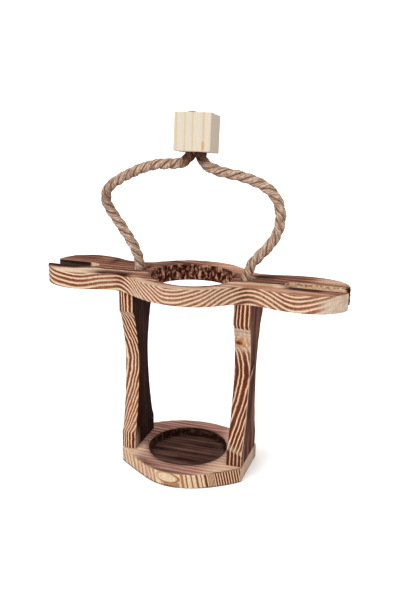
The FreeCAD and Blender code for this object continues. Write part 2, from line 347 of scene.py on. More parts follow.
# -------------------------------------------------------------- node helper
class Nodes:
    def __init__(self, name):
        self.mat = bpy.data.materials.new(name)
        self.mat.use_nodes = True
        self.t = self.mat.node_tree
        self.t.nodes.clear()
        self.out = self.t.nodes.new("ShaderNodeOutputMaterial")
        self.bsdf = self.t.nodes.new("ShaderNodeBsdfPrincipled")
        self.t.links.new(self.bsdf.outputs[0], self.out.inputs[0])

    def link(self, a, b):
        self.t.links.new(a, b)

    def put(self, sock, v):
        if hasattr(v, "is_output"):
            self.link(v, sock)
        else:
            sock.default_value = v

    def attr(self, name):
        n = self.t.nodes.new("ShaderNodeAttribute")
        n.attribute_name = name
        return n.outputs["Fac"]

    def coord(self, scale, rot=(0, 0, 0)):
        if not hasattr(self, "tc"):
            self.tc = self.t.nodes.new("ShaderNodeTexCoord")
        m = self.t.nodes.new("ShaderNodeMapping")
        m.inputs["Scale"].default_value = scale
        m.inputs["Rotation"].default_value = rot
        self.link(self.tc.outputs["Object"], m.inputs["Vector"])
        return m.outputs[0]

    def noise(self, vec, scale=1.0, detail=2.0, rough=0.5, distort=0.0):
        n = self.t.nodes.new("ShaderNodeTexNoise")
        self.link(vec, n.inputs["Vector"])
        n.inputs["Scale"].default_value = scale
        n.inputs["Detail"].default_value = detail
        n.inputs["Roughness"].default_value = rough
        n.inputs["Distortion"].default_value = distort
        return n.outputs["Fac"]

    def math(self, op, a, b=0.0, c=None, clamp=False):
        n = self.t.nodes.new("ShaderNodeMath")
        n.operation = op
        n.use_clamp = clamp
        self.put(n.inputs[0], a)
        self.put(n.inputs[1], b)
        if c is not None:
            self.put(n.inputs[2], c)
        return n.outputs[0]

    def ramp(self, fac, stops, mode="LINEAR"):
        n = self.t.nodes.new("ShaderNodeValToRGB")
        n.color_ramp.interpolation = mode
        e = n.color_ramp.elements
        while len(e) > 1:
            e.remove(e[-1])
        e[0].position, e[0].color = stops[0][0], stops[0][1]
        for p, c in stops[1:]:
            x = e.new(p)
            x.color = c
        self.put(n.inputs[0], fac)
        return n.outputs[0]

    def remap(self, v, a, b, c, d):
        n = self.t.nodes.new("ShaderNodeMapRange")
        n.clamp = True
        self.put(n.inputs[0], v)
        for i, x in enumerate((a, b, c, d)):
            n.inputs[1 + i].default_value = x
        return n.outputs[0]

    def mix(self, fac, a, b, mode="MIX"):
        n = self.t.nodes.new("ShaderNodeMix")
        n.data_type = "RGBA"
        n.blend_type = mode
        n.clamp_factor = True
        self.put(n.inputs[0], fac)
        self.put(n.inputs[6], a)
        self.put(n.inputs[7], b)
        return n.outputs[2]

    def grey(self, v):
        n = self.t.nodes.new("ShaderNodeCombineColor")
        for i in range(3):
            self.put(n.inputs[i], v)
        return n.outputs[0]

    def bump(self, height, strength, dist):
        n = self.t.nodes.new("ShaderNodeBump")
        n.inputs["Strength"].default_value = strength
        n.inputs["Distance"].default_value = dist
        self.put(n.inputs["Height"], height)
        self.link(n.outputs[0], self.bsdf.inputs["Normal"])


# ------------------------------------------------------------ materials
def burnt_pine(name, grain, light=None, dark=None, top=None, warm=None):
    """Scorched, wire-brushed pine. grain is the axis number that the fibres run along. The mesh carries ring and
    ring2, the growth-ring counts of its edges and of its broad faces; top, 1 on the broad faces; char, how dark the
    soft bands burnt; how much scorching, together with painted shade, darkens each place; pale; raw, sawn wood that the
    flame missed; torn, rough end grain; knot."""
    m = Nodes(name)

    def sc(a, b):
        s = [b, b, b]
        s[grain] = a
        return tuple(s)
    fibre = m.noise(m.coord(sc(70.0, 1430.0)), 1.0, 3.0, 0.6)
    streak = m.noise(m.coord(sc(9.0, 240.0)), 1.0, 3.0, 0.55, 0.3)
    streak2 = m.noise(m.coord(sc(16.0, 170.0)), 1.0, 2.0, 0.5, 0.2)
    fleck = m.noise(m.coord(sc(900.0, 500.0)), 1.0, 2.0, 0.6)
    speck = m.noise(m.coord(sc(380.0, 620.0)), 1.0, 1.0, 0.5)
    cloud = m.noise(m.coord((38.0, 38.0, 38.0)), 1.0, 3.0, 0.5)
    wig = m.math("MULTIPLY_ADD", streak, 0.24, -0.12)
    wig2 = m.math("MULTIPLY_ADD", fleck, 0.20, -0.10)
    u = m.math("FRACT", m.math("ADD", m.math("ADD", m.attr("ring"), wig), wig2))
    v = m.math("FRACT", m.math("ADD", m.attr("ring2"), m.math("MULTIPLY", wig, 1.6)))
    light = light or [(0.0, lin(234, 212, 184)), (0.14, lin(227, 201, 170)), (0.22, lin(206, 161, 130)),
                      (0.32, lin(184, 132, 104)), (0.50, lin(168, 113, 88)), (0.68, lin(180, 126, 100)),
                      (0.78, lin(204, 161, 130)), (0.88, lin(228, 203, 173)), (1.0, lin(234, 212, 184))]
    dark = dark or [(0.0, lin(244, 212, 178)), (0.13, lin(234, 196, 158)), (0.21, lin(182, 118, 82)),
                    (0.30, lin(108, 48, 26)), (0.50, lin(76, 25, 11)), (0.70, lin(108, 49, 27)),
                    (0.79, lin(184, 120, 84)), (0.88, lin(236, 199, 162)), (1.0, lin(244, 212, 178))]
    warm = warm or [(0.0, lin(224, 178, 148)), (0.2, lin(198, 144, 114)), (0.5, lin(178, 122, 95)),
                    (0.75, lin(190, 134, 106)), (1.0, lin(224, 178, 148))]
    top = top or [(0.0, lin(206, 156, 128)), (0.05, lin(182, 130, 106)), (0.14, lin(146, 96, 77)),
                  (0.35, lin(138, 87, 69)), (0.55, lin(110, 62, 49)), (0.75, lin(134, 84, 67)),
                  (0.93, lin(164, 113, 91)), (1.0, lin(206, 156, 128))]
    ch = m.math("ADD", m.attr("char"), m.math("MULTIPLY_ADD", cloud, 0.5, -0.25), clamp=True)
    cs = m.mix(ch, m.ramp(u, light), m.ramp(u, dark))
    band = m.remap(m.math("ABSOLUTE", m.math("SUBTRACT", u, 0.5)), 0.16, 0.32, 1.0, 0.0)
    cs = m.mix(m.math("MULTIPLY", band, m.remap(speck, 0.56, 0.68, 0.0, 0.5)), cs, lin(92, 42, 26))
    # fine marks of the brush across the burnt bands
    nick = m.noise(m.coord(sc(640.0, 90.0)), 1.0, 2.0, 0.55, 0.3)
    cs = m.mix(m.math("MULTIPLY", band, m.remap(nick, 0.50, 0.64, 0.0, 0.42)), cs, lin(104, 50, 34))
    ct = m.mix(ch, m.ramp(v, warm), m.mix(m.remap(streak2, 0.50, 0.70, 0.0, 0.75), m.ramp(v, top), lin(88, 54, 46)))
    col = m.mix(m.attr("top"), cs, ct)
    # pale zones, where the scorching was light
    light_up = m.math("MULTIPLY", m.attr("pale"), m.remap(cloud, 0.2, 0.8, 0.80, 1.15), clamp=True)
    col = m.mix(light_up, col, m.mix(m.attr("top"),
                                     m.mix(m.remap(streak, 0.3, 0.7, 0.0, 1.0), lin(224, 203, 182), lin(206, 174, 148)),
                                     m.mix(m.remap(streak, 0.3, 0.7, 0.0, 1.0), lin(248, 228, 200), lin(226, 190, 156))))
    # sawn wood with the marks of the blade across it
    hatch = m.noise(m.coord((560.0, 560.0, 90.0)), 1.0, 2.0, 0.5, 0.6)
    raw = m.mix(m.remap(streak2, 0.35, 0.65, 0.0, 1.0), lin(240, 206, 174), lin(220, 170, 132))
    raw = m.mix(m.remap(hatch, 0.60, 0.70, 0.0, 0.5), raw, lin(150, 90, 66))
    col = m.mix(m.attr("raw"), col, raw)
    # torn end grain
    tear = m.noise(m.coord((330.0, 330.0, 190.0)), 1.0, 3.0, 0.62, 0.4)
    col = m.mix(m.attr("torn"), col, m.ramp(tear, [(0.38, lin(36, 10, 4)), (0.47, lin(74, 33, 21)),
                                                  (0.55, lin(120, 70, 52)), (0.64, lin(208, 162, 136))]))
    # knots
    kn = m.attr("knot")
    col = m.mix(m.remap(kn, 0.0, 0.65, 0.0, 0.85), col,
                m.ramp(m.math("FRACT", m.math("MULTIPLY_ADD", kn, 3.3, m.math("MULTIPLY", cloud, 0.4))),
                       [(0.0, lin(222, 172, 122)), (0.45, lin(194, 124, 82)), (0.8, lin(172, 102, 66)),
                        (1.0, lin(222, 172, 122))]))
    # fibres
    col = m.mix(1.0, col, m.grey(m.remap(fibre, 0.25, 0.75, 0.84, 1.13)), "MULTIPLY")
    col = m.mix(1.0, col, m.grey(m.remap(fleck, 0.25, 0.75, 0.84, 1.10)), "MULTIPLY")
    grit = m.noise(m.coord((620.0, 620.0, 620.0)), 1.0, 2.0, 0.6)
    col = m.mix(1.0, col, m.grey(m.remap(grit, 0.30, 0.70, 0.86, 1.12)), "MULTIPLY")
    # scorching, and the painted shade that the same attribute carries
    b = m.math("MULTIPLY", m.attr("burn_and_shade"), m.remap(m.math("ADD", streak, m.math("MULTIPLY", cloud, 0.6)),
                                                   0.45, 1.1, 0.78, 1.15), clamp=True)
    col = m.mix(b, col, m.mix(m.remap(fibre, 0.3, 0.8, 0.0, 1.0), lin(20, 6, 3), lin(62, 30, 21)))
    m.link(col, m.bsdf.inputs["Base Color"])
    m.link(m.remap(fibre, 0.2, 0.8, 0.78, 0.95), m.bsdf.inputs["Roughness"])
    m.bsdf.inputs["Specular IOR Level"].default_value = 0.04
    m.bump(m.math("ADD", fibre, m.math("MULTIPLY", fleck, 0.5)), 0.45, 0.0003)
    return m.mat


def plain_pine():
    m = Nodes("plain_pine")
    u = m.math("FRACT", m.attr("ring"))
    fibre = m.noise(m.coord((1500.0, 1500.0, 60.0)), 1.0, 3.0, 0.6)
    fine = m.noise(m.coord((420.0, 420.0, 24.0)), 1.0, 2.0, 0.5)
    cloud = m.noise(m.coord((60.0, 60.0, 30.0)), 1.0, 2.0, 0.5)
    col = m.ramp(u, [(0.0, lin(212, 190, 152)), (0.05, lin(216, 196, 164)), (0.12, lin(222, 208, 188)),
                     (0.50, lin(222, 210, 193)), (0.90, lin(220, 206, 184)), (1.0, lin(212, 190, 152))])
    col = m.mix(1.0, col, m.grey(m.remap(fibre, 0.25, 0.75, 0.93, 1.05)), "MULTIPLY")
    col = m.mix(m.remap(fine, 0.55, 0.8, 0.0, 0.25), col, lin(206, 184, 152))
    col = m.mix(m.remap(cloud, 0.5, 0.8, 0.0, 0.25), col, lin(214, 198, 174))
    col = m.mix(m.attr("burn_and_shade"), col, lin(214, 156, 88))
    # painted shade: the block's right face darker
    col = m.mix(m.attr("shade"), col, lin(178, 160, 142))
    m.link(col, m.bsdf.inputs["Base Color"])
    m.link(m.remap(fibre, 0.2, 0.8, 0.65, 0.85), m.bsdf.inputs["Roughness"])
    m.bsdf.inputs["Specular IOR Level"].default_value = 0.12
    m.bump(fibre, 0.3, 0.0002)
    return m.mat


def jute():
    """Twisted natural fibre. The mesh carries along, mm along the rope; across, the place round each strand; depth,
    0 in the grooves and 1 on the crowns; strand; and how much darker the rope is, stained in places and under painted
    shade in others."""
    m = Nodes("jute")
    a = m.attr("along")
    r = m.attr("across")
    d = m.attr("depth")

    def vec(ka, kr):
        v = m.t.nodes.new("ShaderNodeCombineXYZ")
        m.put(v.inputs[0], m.math("MULTIPLY", a, ka))
        m.put(v.inputs[1], m.math("MULTIPLY", r, kr))
        m.put(v.inputs[2], m.attr("strand"))
        return v.outputs[0]
    fib = m.noise(vec(0.20, 7.0), 1.0, 3.0, 0.6)
    fine = m.noise(vec(0.55, 17.0), 1.0, 3.0, 0.6)
    blot = m.noise(m.coord((120.0, 120.0, 120.0)), 1.0, 3.0, 0.5)
    col = m.ramp(m.math("ADD", m.math("MULTIPLY", fib, 0.55), m.math("MULTIPLY", fine, 0.45)),
                 [(0.39, lin(100, 66, 46)), (0.45, lin(150, 114, 90)), (0.51, lin(190, 157, 134)),
                  (0.59, lin(228, 207, 188))])
    # painted shade: darker in the grooves between the strands
    col = m.mix(m.remap(d, 0.05, 0.64, 0.97, 0.0), col, lin(70, 39, 25))
    col = m.mix(m.remap(blot, 0.52, 0.75, 0.0, 0.40), col, lin(160, 114, 86))
    # darker where the rope is stained, and with painted shade under the block and on its underside
    col = m.mix(m.attr("stain_and_shade"), col, m.mix(m.remap(fib, 0.44, 0.58, 0.0, 1.0), lin(30, 10, 4), lin(112, 66, 42)))
    m.link(col, m.bsdf.inputs["Base Color"])
    m.bsdf.inputs["Roughness"].default_value = 0.9
    m.bsdf.inputs["Specular IOR Level"].default_value = 0.06
    m.bump(m.math("ADD", fib, m.math("MULTIPLY", fine, 0.7)), 0.8, 0.0004)
    return m.mat


def hair_mat():
    m = Nodes("jute_hair")
    n = m.noise(m.coord((300.0, 300.0, 300.0)), 1.0, 2.0, 0.5)
    m.link(m.ramp(n, [(0.3, lin(150, 116, 88)), (0.7, lin(206, 178, 150))]), m.bsdf.inputs["Base Color"])
    m.bsdf.inputs["Roughness"].default_value = 0.8
    return m.mat


def steel():
    m = Nodes("zinc_steel")
    n = m.noise(m.coord((700.0, 700.0, 700.0)), 1.0, 3.0, 0.6)
    m.link(m.ramp(n, [(0.3, lin(138, 138, 134)), (0.7, lin(186, 186, 182))]), m.bsdf.inputs["Base Color"])
    m.bsdf.inputs["Metallic"].default_value = 1.0
    m.link(m.remap(n, 0.2, 0.8, 0.32, 0.5), m.bsdf.inputs["Roughness"])
    m.bump(n, 0.2, 0.0001)
    return m.mat


def glue_mat():
    m = Nodes("glue")
    n = m.noise(m.coord((500.0, 500.0, 500.0)), 1.0, 2.0, 0.5)
    m.link(m.ramp(n, [(0.3, lin(122, 108, 112)), (0.7, lin(170, 158, 162))]), m.bsdf.inputs["Base Color"])
    m.bsdf.inputs["Roughness"].default_value = 0.25
    m.bsdf.inputs["Subsurface Weight"].default_value = 0.2
    m.bsdf.inputs["Subsurface Scale"].default_value = 0.002
    m.bump(n, 0.2, 0.0002)
    return m.mat


# ------------------------------------------------------------------ ropes
block_c = np.array([4.1, 0.0, 340.3])
block_s = 35.2
half = block_s / 2


def rot_axis(axis, deg):
    return np.array(Matrix.Rotation(math.radians(deg), 3, axis))


block_R = rot_axis("Z", 4.4) @ rot_axis("X", -10.0) @ rot_axis("Y", -0.2)


def bp(x, y, z):
    return tuple(float(v) for v in (block_R @ np.array([x, y, z]) + block_c))


top_z1 = 204.5
route_left = [
    (-55.0, 0.0, top_z1 - 12.0), (-55.0, 0.0, 206.8),
    (-57.8, 0.0, 220.6), (-65.2, 0.0, 233.3), (-76.0, 0.0, 248.6),
    (-85.6, 0.0, 261.0), (-90.4, 0.0, 269.6), (-90.8, 0.0, 277.8),
    (-86.9, 0.0, 285.0), (-80.0, -0.2, 290.6), (-67.6, -0.6, 297.6),
    (-51.4, -1.3, 305.2), (-35.4, -2.2, 310.2), (-20.6, -3.0, 310.9),
    (-8.4, -3.6, 312.6),
    bp(-4.9, 0.0, -half - 3.4), bp(-4.9, -0.3, -half + 7.0),
    bp(-4.9, 0.9, -half + 19.0), bp(-4.9, -0.5, -half + 30.0),
    bp(-4.9, 0.3, half + 1.2)]
route_right = [
    (54.9, 0.0, top_z1 - 12.0), (54.9, 0.0, 206.2),
    (58.2, 0.0, 219.2), (67.6, 0.0, 229.4), (78.8, 0.0, 242.6),
    (84.8, 0.0, 254.6), (86.4, 0.0, 268.4), (83.5, 0.0, 281.8),
    (75.6, -0.2, 291.8), (63.8, -0.6, 298.4), (47.4, -1.4, 303.2),
    (31.6, -2.4, 305.6), (21.8, -3.2, 308.2), (14.4, -3.7, 311.6),
    bp(4.9, 0.0, -half - 5.2), bp(4.9, 0.3, -half + 4.0),
    bp(4.9, -0.9, -half + 16.0), bp(4.9, 0.6, -half + 27.0),
    bp(4.9, -0.2, half + 1.0)]
route_left = [(x * MM, y * MM, z * MM) for x, y, z in route_left]
route_right = [(x * MM, y * MM, z * MM) for x, y, z in route_right]


def route_curve(name, points):
    """Points along a smooth NURBS line whose control points are the route, in mm."""
    cu = bpy.data.curves.new(name, "CURVE")
    cu.dimensions = "3D"
    cu.resolution_u = 24
    sp = cu.splines.new("NURBS")
    sp.points.add(len(points) - 1)
    for p, q in zip(sp.points, points):
        p.co = (q[0], q[1], q[2], 1.0)
    sp.order_u = 3
    sp.use_endpoint_u = True
    o = bpy.data.objects.new(name, cu)
    scene.collection.objects.link(o)
    me = bpy.data.meshes.new_from_object(o)
    P = np.array([v.co[:] for v in me.vertices]) / MM
    bpy.data.objects.remove(o)
    bpy.data.meshes.remove(me)
    return P


def frames(P):
    """Tangents and a frame carried along the line without twist."""
    T = np.gradient(P, axis=0)
    T /= np.linalg.norm(T, axis=1, keepdims=True)
    u = np.cross(T[0], [0.0, 1.0, 0.0])
    u /= np.linalg.norm(u)
    U = [u]
    for k in range(1, len(P)):
        u = U[-1] - T[k] * np.dot(U[-1], T[k])
        U.append(u / np.linalg.norm(u))
    U = np.array(U)
    return T, U, np.cross(T, U)


def rope(name, points, seed, pitch, phase, bend_at, long_hairs=()):
    line = resample(route_curve(name + "_line", points), 0.5)
    T, U, W = frames(line)
    s = np.concatenate([[0], np.cumsum(np.linalg.norm(np.diff(line, axis=0), axis=1))])
    total = s[-1]
    verts, faces = [], []
    at = {k: [] for k in ("along", "across", "depth", "strand", "stain_and_shade")}
    base = 0
    g = np.random.default_rng(seed)
    wob = g.uniform(0, 6.28, 10)
    # left-hand lay that loosens and tightens a little along the rope
    twist = -2 * math.pi * (s / pitch + 0.05 * np.sin(s / 23.0 + wob[0]) + 0.02 * np.sin(s / 8.1 + wob[1])) + phase
    # a little wider where it stands in the board, and looser at its cut end
    swell = 1.0 + 0.07 * np.exp(-((s - 13.5) / 4.0) ** 2) - 0.06 * smooth(12.5, 10.0, s) \
        + 0.06 * np.exp(-((s - total + 38.5) / 3.5) ** 2)
    # darker near the block, stained and with painted shade under it; stained at the bend
    stain_and_shade = 0.9 * smooth(total - 52.0, total - 42.0, s) + 0.34 * np.exp(-((s - bend_at) / 15.0) ** 2)
    n_out = 22
    th = np.linspace(-60.6, 60.6, n_out)
    sec = [(math.radians(t), None) for t in th]
    sec += [(math.radians(t), r) for t, r in ((60.0, 2.5), (44.0, 1.2), (0.0, 0.5), (-44.0, 1.2), (-60.0, 2.5))]
    m = len(s)
    for k in range(3):
        uneven = 1 + 0.02 * np.sin(s / 6.7 + wob[2 + k]) + 0.015 * np.sin(s / 2.9 + wob[5 + k])
        for t, r in sec:
            a = twist + 2 * math.pi * k / 3 + t
            if r is None:
                crown = max(math.cos(math.pi / 2 * t / math.radians(61.5)), 0.0) ** 0.72
                rr = (3.68 + 1.50 * crown) * uneven * swell
                # yarns lie along each strand
                yarn = np.abs(np.sin(5.2 * t + s / 13.0 + wob[8] + k))
                q = np.column_stack([s * 0.13, t * 3.6 + s / 40.0, np.full(m, 3.7 * k)])
                q2 = np.column_stack([s * 0.5, np.full(m, t * 8.0), np.full(m, 5.1 * k)])
                rr = rr + 0.20 * (yarn - 0.6) + 0.45 * (vnoise(q, seed + k) - 0.5) + 0.26 * (vnoise(q2, seed + 5 + k) - 0.5)
                dep = crown * 0.86 + 0.14 * yarn
            else:
                rr = r * uneven * swell
                dep = 0.0
            out = U * np.cos(a)[:, None] + W * np.sin(a)[:, None]
            verts.append(line + out * np.reshape(rr, (-1, 1)))
            at["along"].append(s)
            at["across"].append(t / (2 * math.pi) * 3.0 + s / 46.0)
            # with painted shade on the rope's underside
            at["stain_and_shade"].append(np.clip(stain_and_shade + 0.26 * smooth(-0.25, -0.90, out[:, 2]), 0, 1))
            at["depth"].append(np.full(m, dep) if np.isscalar(dep) else dep)
            at["strand"].append(np.full(m, k * 7.0 + seed))
        ns = len(sec)
        for j in range(ns):
            j2 = (j + 1) % ns
            for i in range(m - 1):
                faces.append((base + j * m + i, base + j2 * m + i, base + j2 * m + i + 1, base + j * m + i + 1))
        # cut ends, a little domed
        ca, cb = base + ns * m, base + ns * m + 1
        a0, a1 = twist[0] + 2 * math.pi * k / 3, twist[-1] + 2 * math.pi * k / 3
        verts.append(np.vstack([line[0] + (U[0] * math.cos(a0) + W[0] * math.sin(a0)) * 2.4,
                                line[-1] + (U[-1] * math.cos(a1) + W[-1] * math.sin(a1)) * 2.4 - T[-1] * 0.6]))
        for key in at:
            at[key].append(np.array([at[key][-ns + 8][0], at[key][-ns + 8][-1]]))
        for j in range(ns):
            j2 = (j + 1) % ns
            faces.append((ca, base + j2 * m, base + j * m))
            faces.append((cb, base + j * m + m - 1, base + j2 * m + m - 1))
        base += ns * m + 2
    P = np.vstack(verts)
    o = make_object(name + "_strands", P, faces, {k: np.concatenate(v) for k, v in at.items()}, JUTE)
    # stray fibres: thin closed spikes that lean along the rope
    hv, hf = [], []
    n = 620
    lo, hi = 14.0, total - 0.8
    todo = [(g.uniform(lo, hi), g.uniform(0, 2 * math.pi), g.uniform(1.0, 3.4)) for k in range(n)] + list(long_hairs)
    for at_s, b, L in todo:
        i = int(np.searchsorted(s, at_s))
        i = min(max(i, 1), len(s) - 2)
        o_dir = U[i] * math.cos(b) + W[i] * math.sin(b)
        r0 = 3.7 + g.uniform(0, 0.5)
        lean = g.choice([-1.0, 1.0]) * g.uniform(0.3, 1.6)
        s_dir = np.cross(T[i], o_dir) * g.uniform(-0.9, 0.9)
        d = o_dir * g.uniform(0.25, 1.0) + T[i] * lean + s_dir
        if L > 4:
            d = o_dir + T[i] * 0.4
        d /= np.linalg.norm(d)
        bend = o_dir * g.uniform(-0.25, 0.25) + T[i] * g.uniform(-0.4, 0.4)
        p0 = line[i] + o_dir * r0
        prev = len(hv)
        w = g.uniform(0.045, 0.08) if L < 4 else 0.12
        x = np.cross(d, [0.3, 0.5, 0.8])
        x /= np.linalg.norm(x)
        y = np.cross(d, x)
        steps = 4
        for q in range(steps):
            f = q / steps
            c = p0 + d * (L * f) + bend * (L * f * f * 0.6)
            for e in range(3):
                an = 2 * math.pi * e / 3
                hv.append(c + (x * math.cos(an) + y * math.sin(an)) * w * (1 - 0.7 * f))
        hv.append(p0 + d * L + bend * (L * 0.6))
        tip = len(hv) - 1
        for q in range(steps - 1):
            for e in range(3):
                e2 = (e + 1) % 3
                hf.append((prev + q * 3 + e, prev + q * 3 + e2, prev + (q + 1) * 3 + e2, prev + (q + 1) * 3 + e))
        for e in range(3):
            hf.append((prev + (steps - 1) * 3 + e, prev + (steps - 1) * 3 + (e + 1) % 3, tip))
        hf.append((prev + 2, prev + 1, prev))
    h = make_object(name + "_fibres", np.array(hv), hf, {}, HAIR)
    for x in (o, h):
        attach(x, "root")
    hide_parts(name)
    path = [tuple(p * MM) for p in line[::4]]
    if tuple(line[-1] * MM) != path[-1]:
        path.append(tuple(line[-1] * MM))
    print(name, "length", round(float(total), 1))
    return o


JUTE, HAIR = jute(), hair_mat()
rope("rope_left", route_left, 11, 32.0, 0.6, 92.0)
rope("rope_right", route_right, 29, 36.0, 1.4, -90.0, [(96.0, 2.6, 7.0), (84.0, 2.9, 6.0), (128.0, 1.6, 5.0)])


# -------------------------------------------------------------- top board
# Growth rings of the top board: cylinders round a pith that lies below the board, with the local waviness of the
# grain along X as smooth bumps (centre, width, rings).
RB = (0.8207, 0.1393, -0.0123, 139.5677, 0.0065, 0.0321, -3.8264, 1.5122, 0.2233, 0.006)
RW = [(-140, 18, 0.88), (-110, 16, 0.341), (-85, 14, -0.412), (-65, 12, -1.072), (-50, 10, -0.839),
      (-38, 10, 0.406), (-26, 10, 0.457), (-14, 10, 1.352), (0, 12, 0.994), (14, 12, -0.088),
      (26, 10, -0.272), (38, 10, -0.727), (50, 12, -0.644), (65, 14, -1.266), (85, 16, -1.088),
      (105, 16, 0.007), (130, 18, -0.85)]


def rings_top(P):
    x, y, z = P[:, 0], P[:, 1], P[:, 2]
    y0 = RB[0] + RB[1] * x + RB[2] * x * x / 100
    z0 = RB[3] + RB[4] * x + RB[5] * x * x / 100
    R = np.sqrt((y - y0) ** 2 + (z - z0) ** 2)
    r = (R - 40) / 10
    n = RB[6] + RB[7] * r + RB[8] * r ** 2 + RB[9] * r ** 3
    fade = smooth(20.0, -20.0, y)
    for c, w, a in RW:
        n = n + a * np.exp(-((x - c) / w) ** 2) * (0.35 + 0.65 * fade)
    return n


def section(node, z):
    """Closed loops where the CAD node's mesh crosses height z, in mm, longest first."""
    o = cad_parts[node]
    M = np.array(o.matrix_world)
    me = o.data
    V = np.array([v.co[:] for v in me.vertices])
    V = (V @ M[:3, :3].T + M[:3, 3]) / MM
    segs = []
    me.calc_loop_triangles()
    for t in me.loop_triangles:
        a = V[list(t.vertices)]
        d = a[:, 2] - z
        if (d > 0).all() or (d <= 0).all():
            continue
        pts = []
        for i in range(3):
            j = (i + 1) % 3
            if (d[i] > 0) != (d[j] > 0):
                f = d[i] / (d[i] - d[j])
                pts.append(a[i, :2] + f * (a[j, :2] - a[i, :2]))
        if len(pts) == 2 and np.linalg.norm(pts[0] - pts[1]) > 1e-6:
            segs.append(pts)
    key = lambda p: (round(float(p[0]), 3), round(float(p[1]), 3))
    link = {}
    pos = {}
    for p, q in segs:
        kp, kq = key(p), key(q)
        if kp == kq:
            continue
        pos[kp], pos[kq] = p, q
        link.setdefault(kp, []).append(kq)
        link.setdefault(kq, []).append(kp)
    loops, used = [], set()
    for k in link:
        if k in used:
            continue
        run, cur, prev = [], k, None
        while cur is not None and cur not in used:
            used.add(cur)
            run.append(pos[cur])
            nxt = [q for q in link[cur] if q != prev and q not in used]
            prev, cur = cur, (nxt[0] if nxt else None)
        if len(run) > 5:
            loops.append(np.array(run))
    loops.sort(key=lambda L: -abs(area(L)))
    return loops


def relief(u, depth):
    """How far a surface lies below its raised late-wood lines, for the ring count u."""
    f = u - np.floor(u)
    d = np.minimum(f, 1 - f)
    return depth * smooth(0.08, 0.30, d)


step = 0.75
loops = section("top_board", 195.75)
outline = [L for L in loops if abs(area(L)) > 8000][0]
collar = circle(0.0, 0.0, 40.0, step) * np.array([41.5, 38.2]) / 40.0 + np.array([0.3, -0.8])
outline = resample(outline, step * 0.95, True)
ropes_in = [(circle(x, 0.0, 5.25, 0.8), 12.0, 0.3) for x in (-55.0, 54.9)]
b = board([outline, collar], 187.0, 204.5, 1.2, 0.8, step * 0.85, step, step * 1.9, ropes_in)
P, N = b.arrays()
x, y, z = P.T
rad = np.hypot((x - 0.3) / 41.5, (y + 0.8) / 38.2)
wall = np.abs(N[:, 2]) < 0.5
up = N[:, 2] > 0.5
in_collar = (rad < 1.015) & wall
in_slot = wall & (np.abs(x) > 88) & (y > -10.2) & (y < 8.4) & (np.abs(x) < 153)
in_hole = wall & (np.hypot(np.abs(x) - 55.0, y) < 5.6)
side_f = wall & (y < 0) & ~in_collar & ~in_slot & ~in_hole
side_b = wall & (y > 0) & ~in_collar & ~in_slot & ~in_hole
ring = rings_top(np.column_stack([x, np.where(side_b, -y, y), z]))
q = np.column_stack([x * 0.012, y * 0.11, z * 0.11])
st = fbm(q, 3, 3)
q2 = np.column_stack([x * 0.05, y * 0.35, z * 0.35])
st2 = fbm(q2, 13, 2)
# lines of the broad faces run along the board, a little wavy
ring2 = (y + 2.2 * np.sin(x / 41.0 + 0.8) + 0.9 * np.sin(x / 17.0)) / 8.2 + 1.5 * (st - 0.5) + 0.35 * (st2 - 0.5)
char = 0.16 + 0.48 * gauss(x, -120, 30) + 0.58 * gauss(x, -66, 11) + 0.55 * gauss(x, 60, 10) + 0.32 * gauss(x, 106, 20)
char = np.where(side_f, char, 0.55)
# how far in from the front edge
fo = outline[outline[:, 1] < -9.5]
fo = fo[np.argsort(fo[:, 0])]
inset = y - np.interp(x, fo[:, 0], fo[:, 1])
# where the broad face was scorched less it is a warmer, lighter brown
warm = 0.9 * blob(x, y, 33, 40, 30, 24, 4) + 0.7 * blob(x, y, 59, 25, 9, 7) + 0.8 * blob(x, y, 138, 22, 22, 14, 4)
warm += smooth(11, 6, inset) * smooth(-62, -46, x) * smooth(106, 96, x)
warm += 0.75 * smooth(24, 18, inset) * smooth(36, 46, x) * smooth(150, 128, x)
warm += 0.5 * blob(x, y, -50, 26, 10, 14) + 0.6 * blob(x, y, -49, -22, 8, 8) + 0.45 * blob(x, y, -104, 26, 10, 9)
char = np.where(up, 1.0 - np.clip(warm, 0, 1), char)
burn_and_shade = 0.0 * x
burn_and_shade += up * np.clip((st - 0.50) * 1.5, 0, 0.5) * (1 - 0.6 * np.clip(warm, 0, 1))
burn_and_shade += up * 0.20 * smooth(0, 30, y) * (x < -30)
# scorched patches, with some painted shadows among them, front left to right
edge = np.interp(x, [-150, -135, -120, -108, -98], [-15.0, -18.5, -16.0, -11.0, -8.5])
burn_and_shade += up * 1.15 * smooth(edge - 2.0, edge + 2.5, y) * (y < -5) * smooth(-98, -106, x)
burn_and_shade += up * 0.45 * gauss(x, -152, 3.0) * smooth(-25, -18, y)
burn_and_shade += up * (0.80 * blob(x, y, -64, -26.5, 8, 4.5) + 0.70 * blob(x, y, -85, -27.5, 7, 4) + 0.40 * blob(x, y, -74, -24, 20, 8, 4))
burn_and_shade += up * 0.45 * blob(x, y, -91, 18, 3.6, 13)
# dark beside the left rope: partly char, partly a painted shadow of the rope
burn_and_shade += up * 0.90 * blob(x, y, -49.8, 8, 2.4, 7)
burn_and_shade += up * (1.0 * blob(x, y, 65, 13, 6, 4) + 0.7 * blob(x, y, 74, 14, 9, 6))
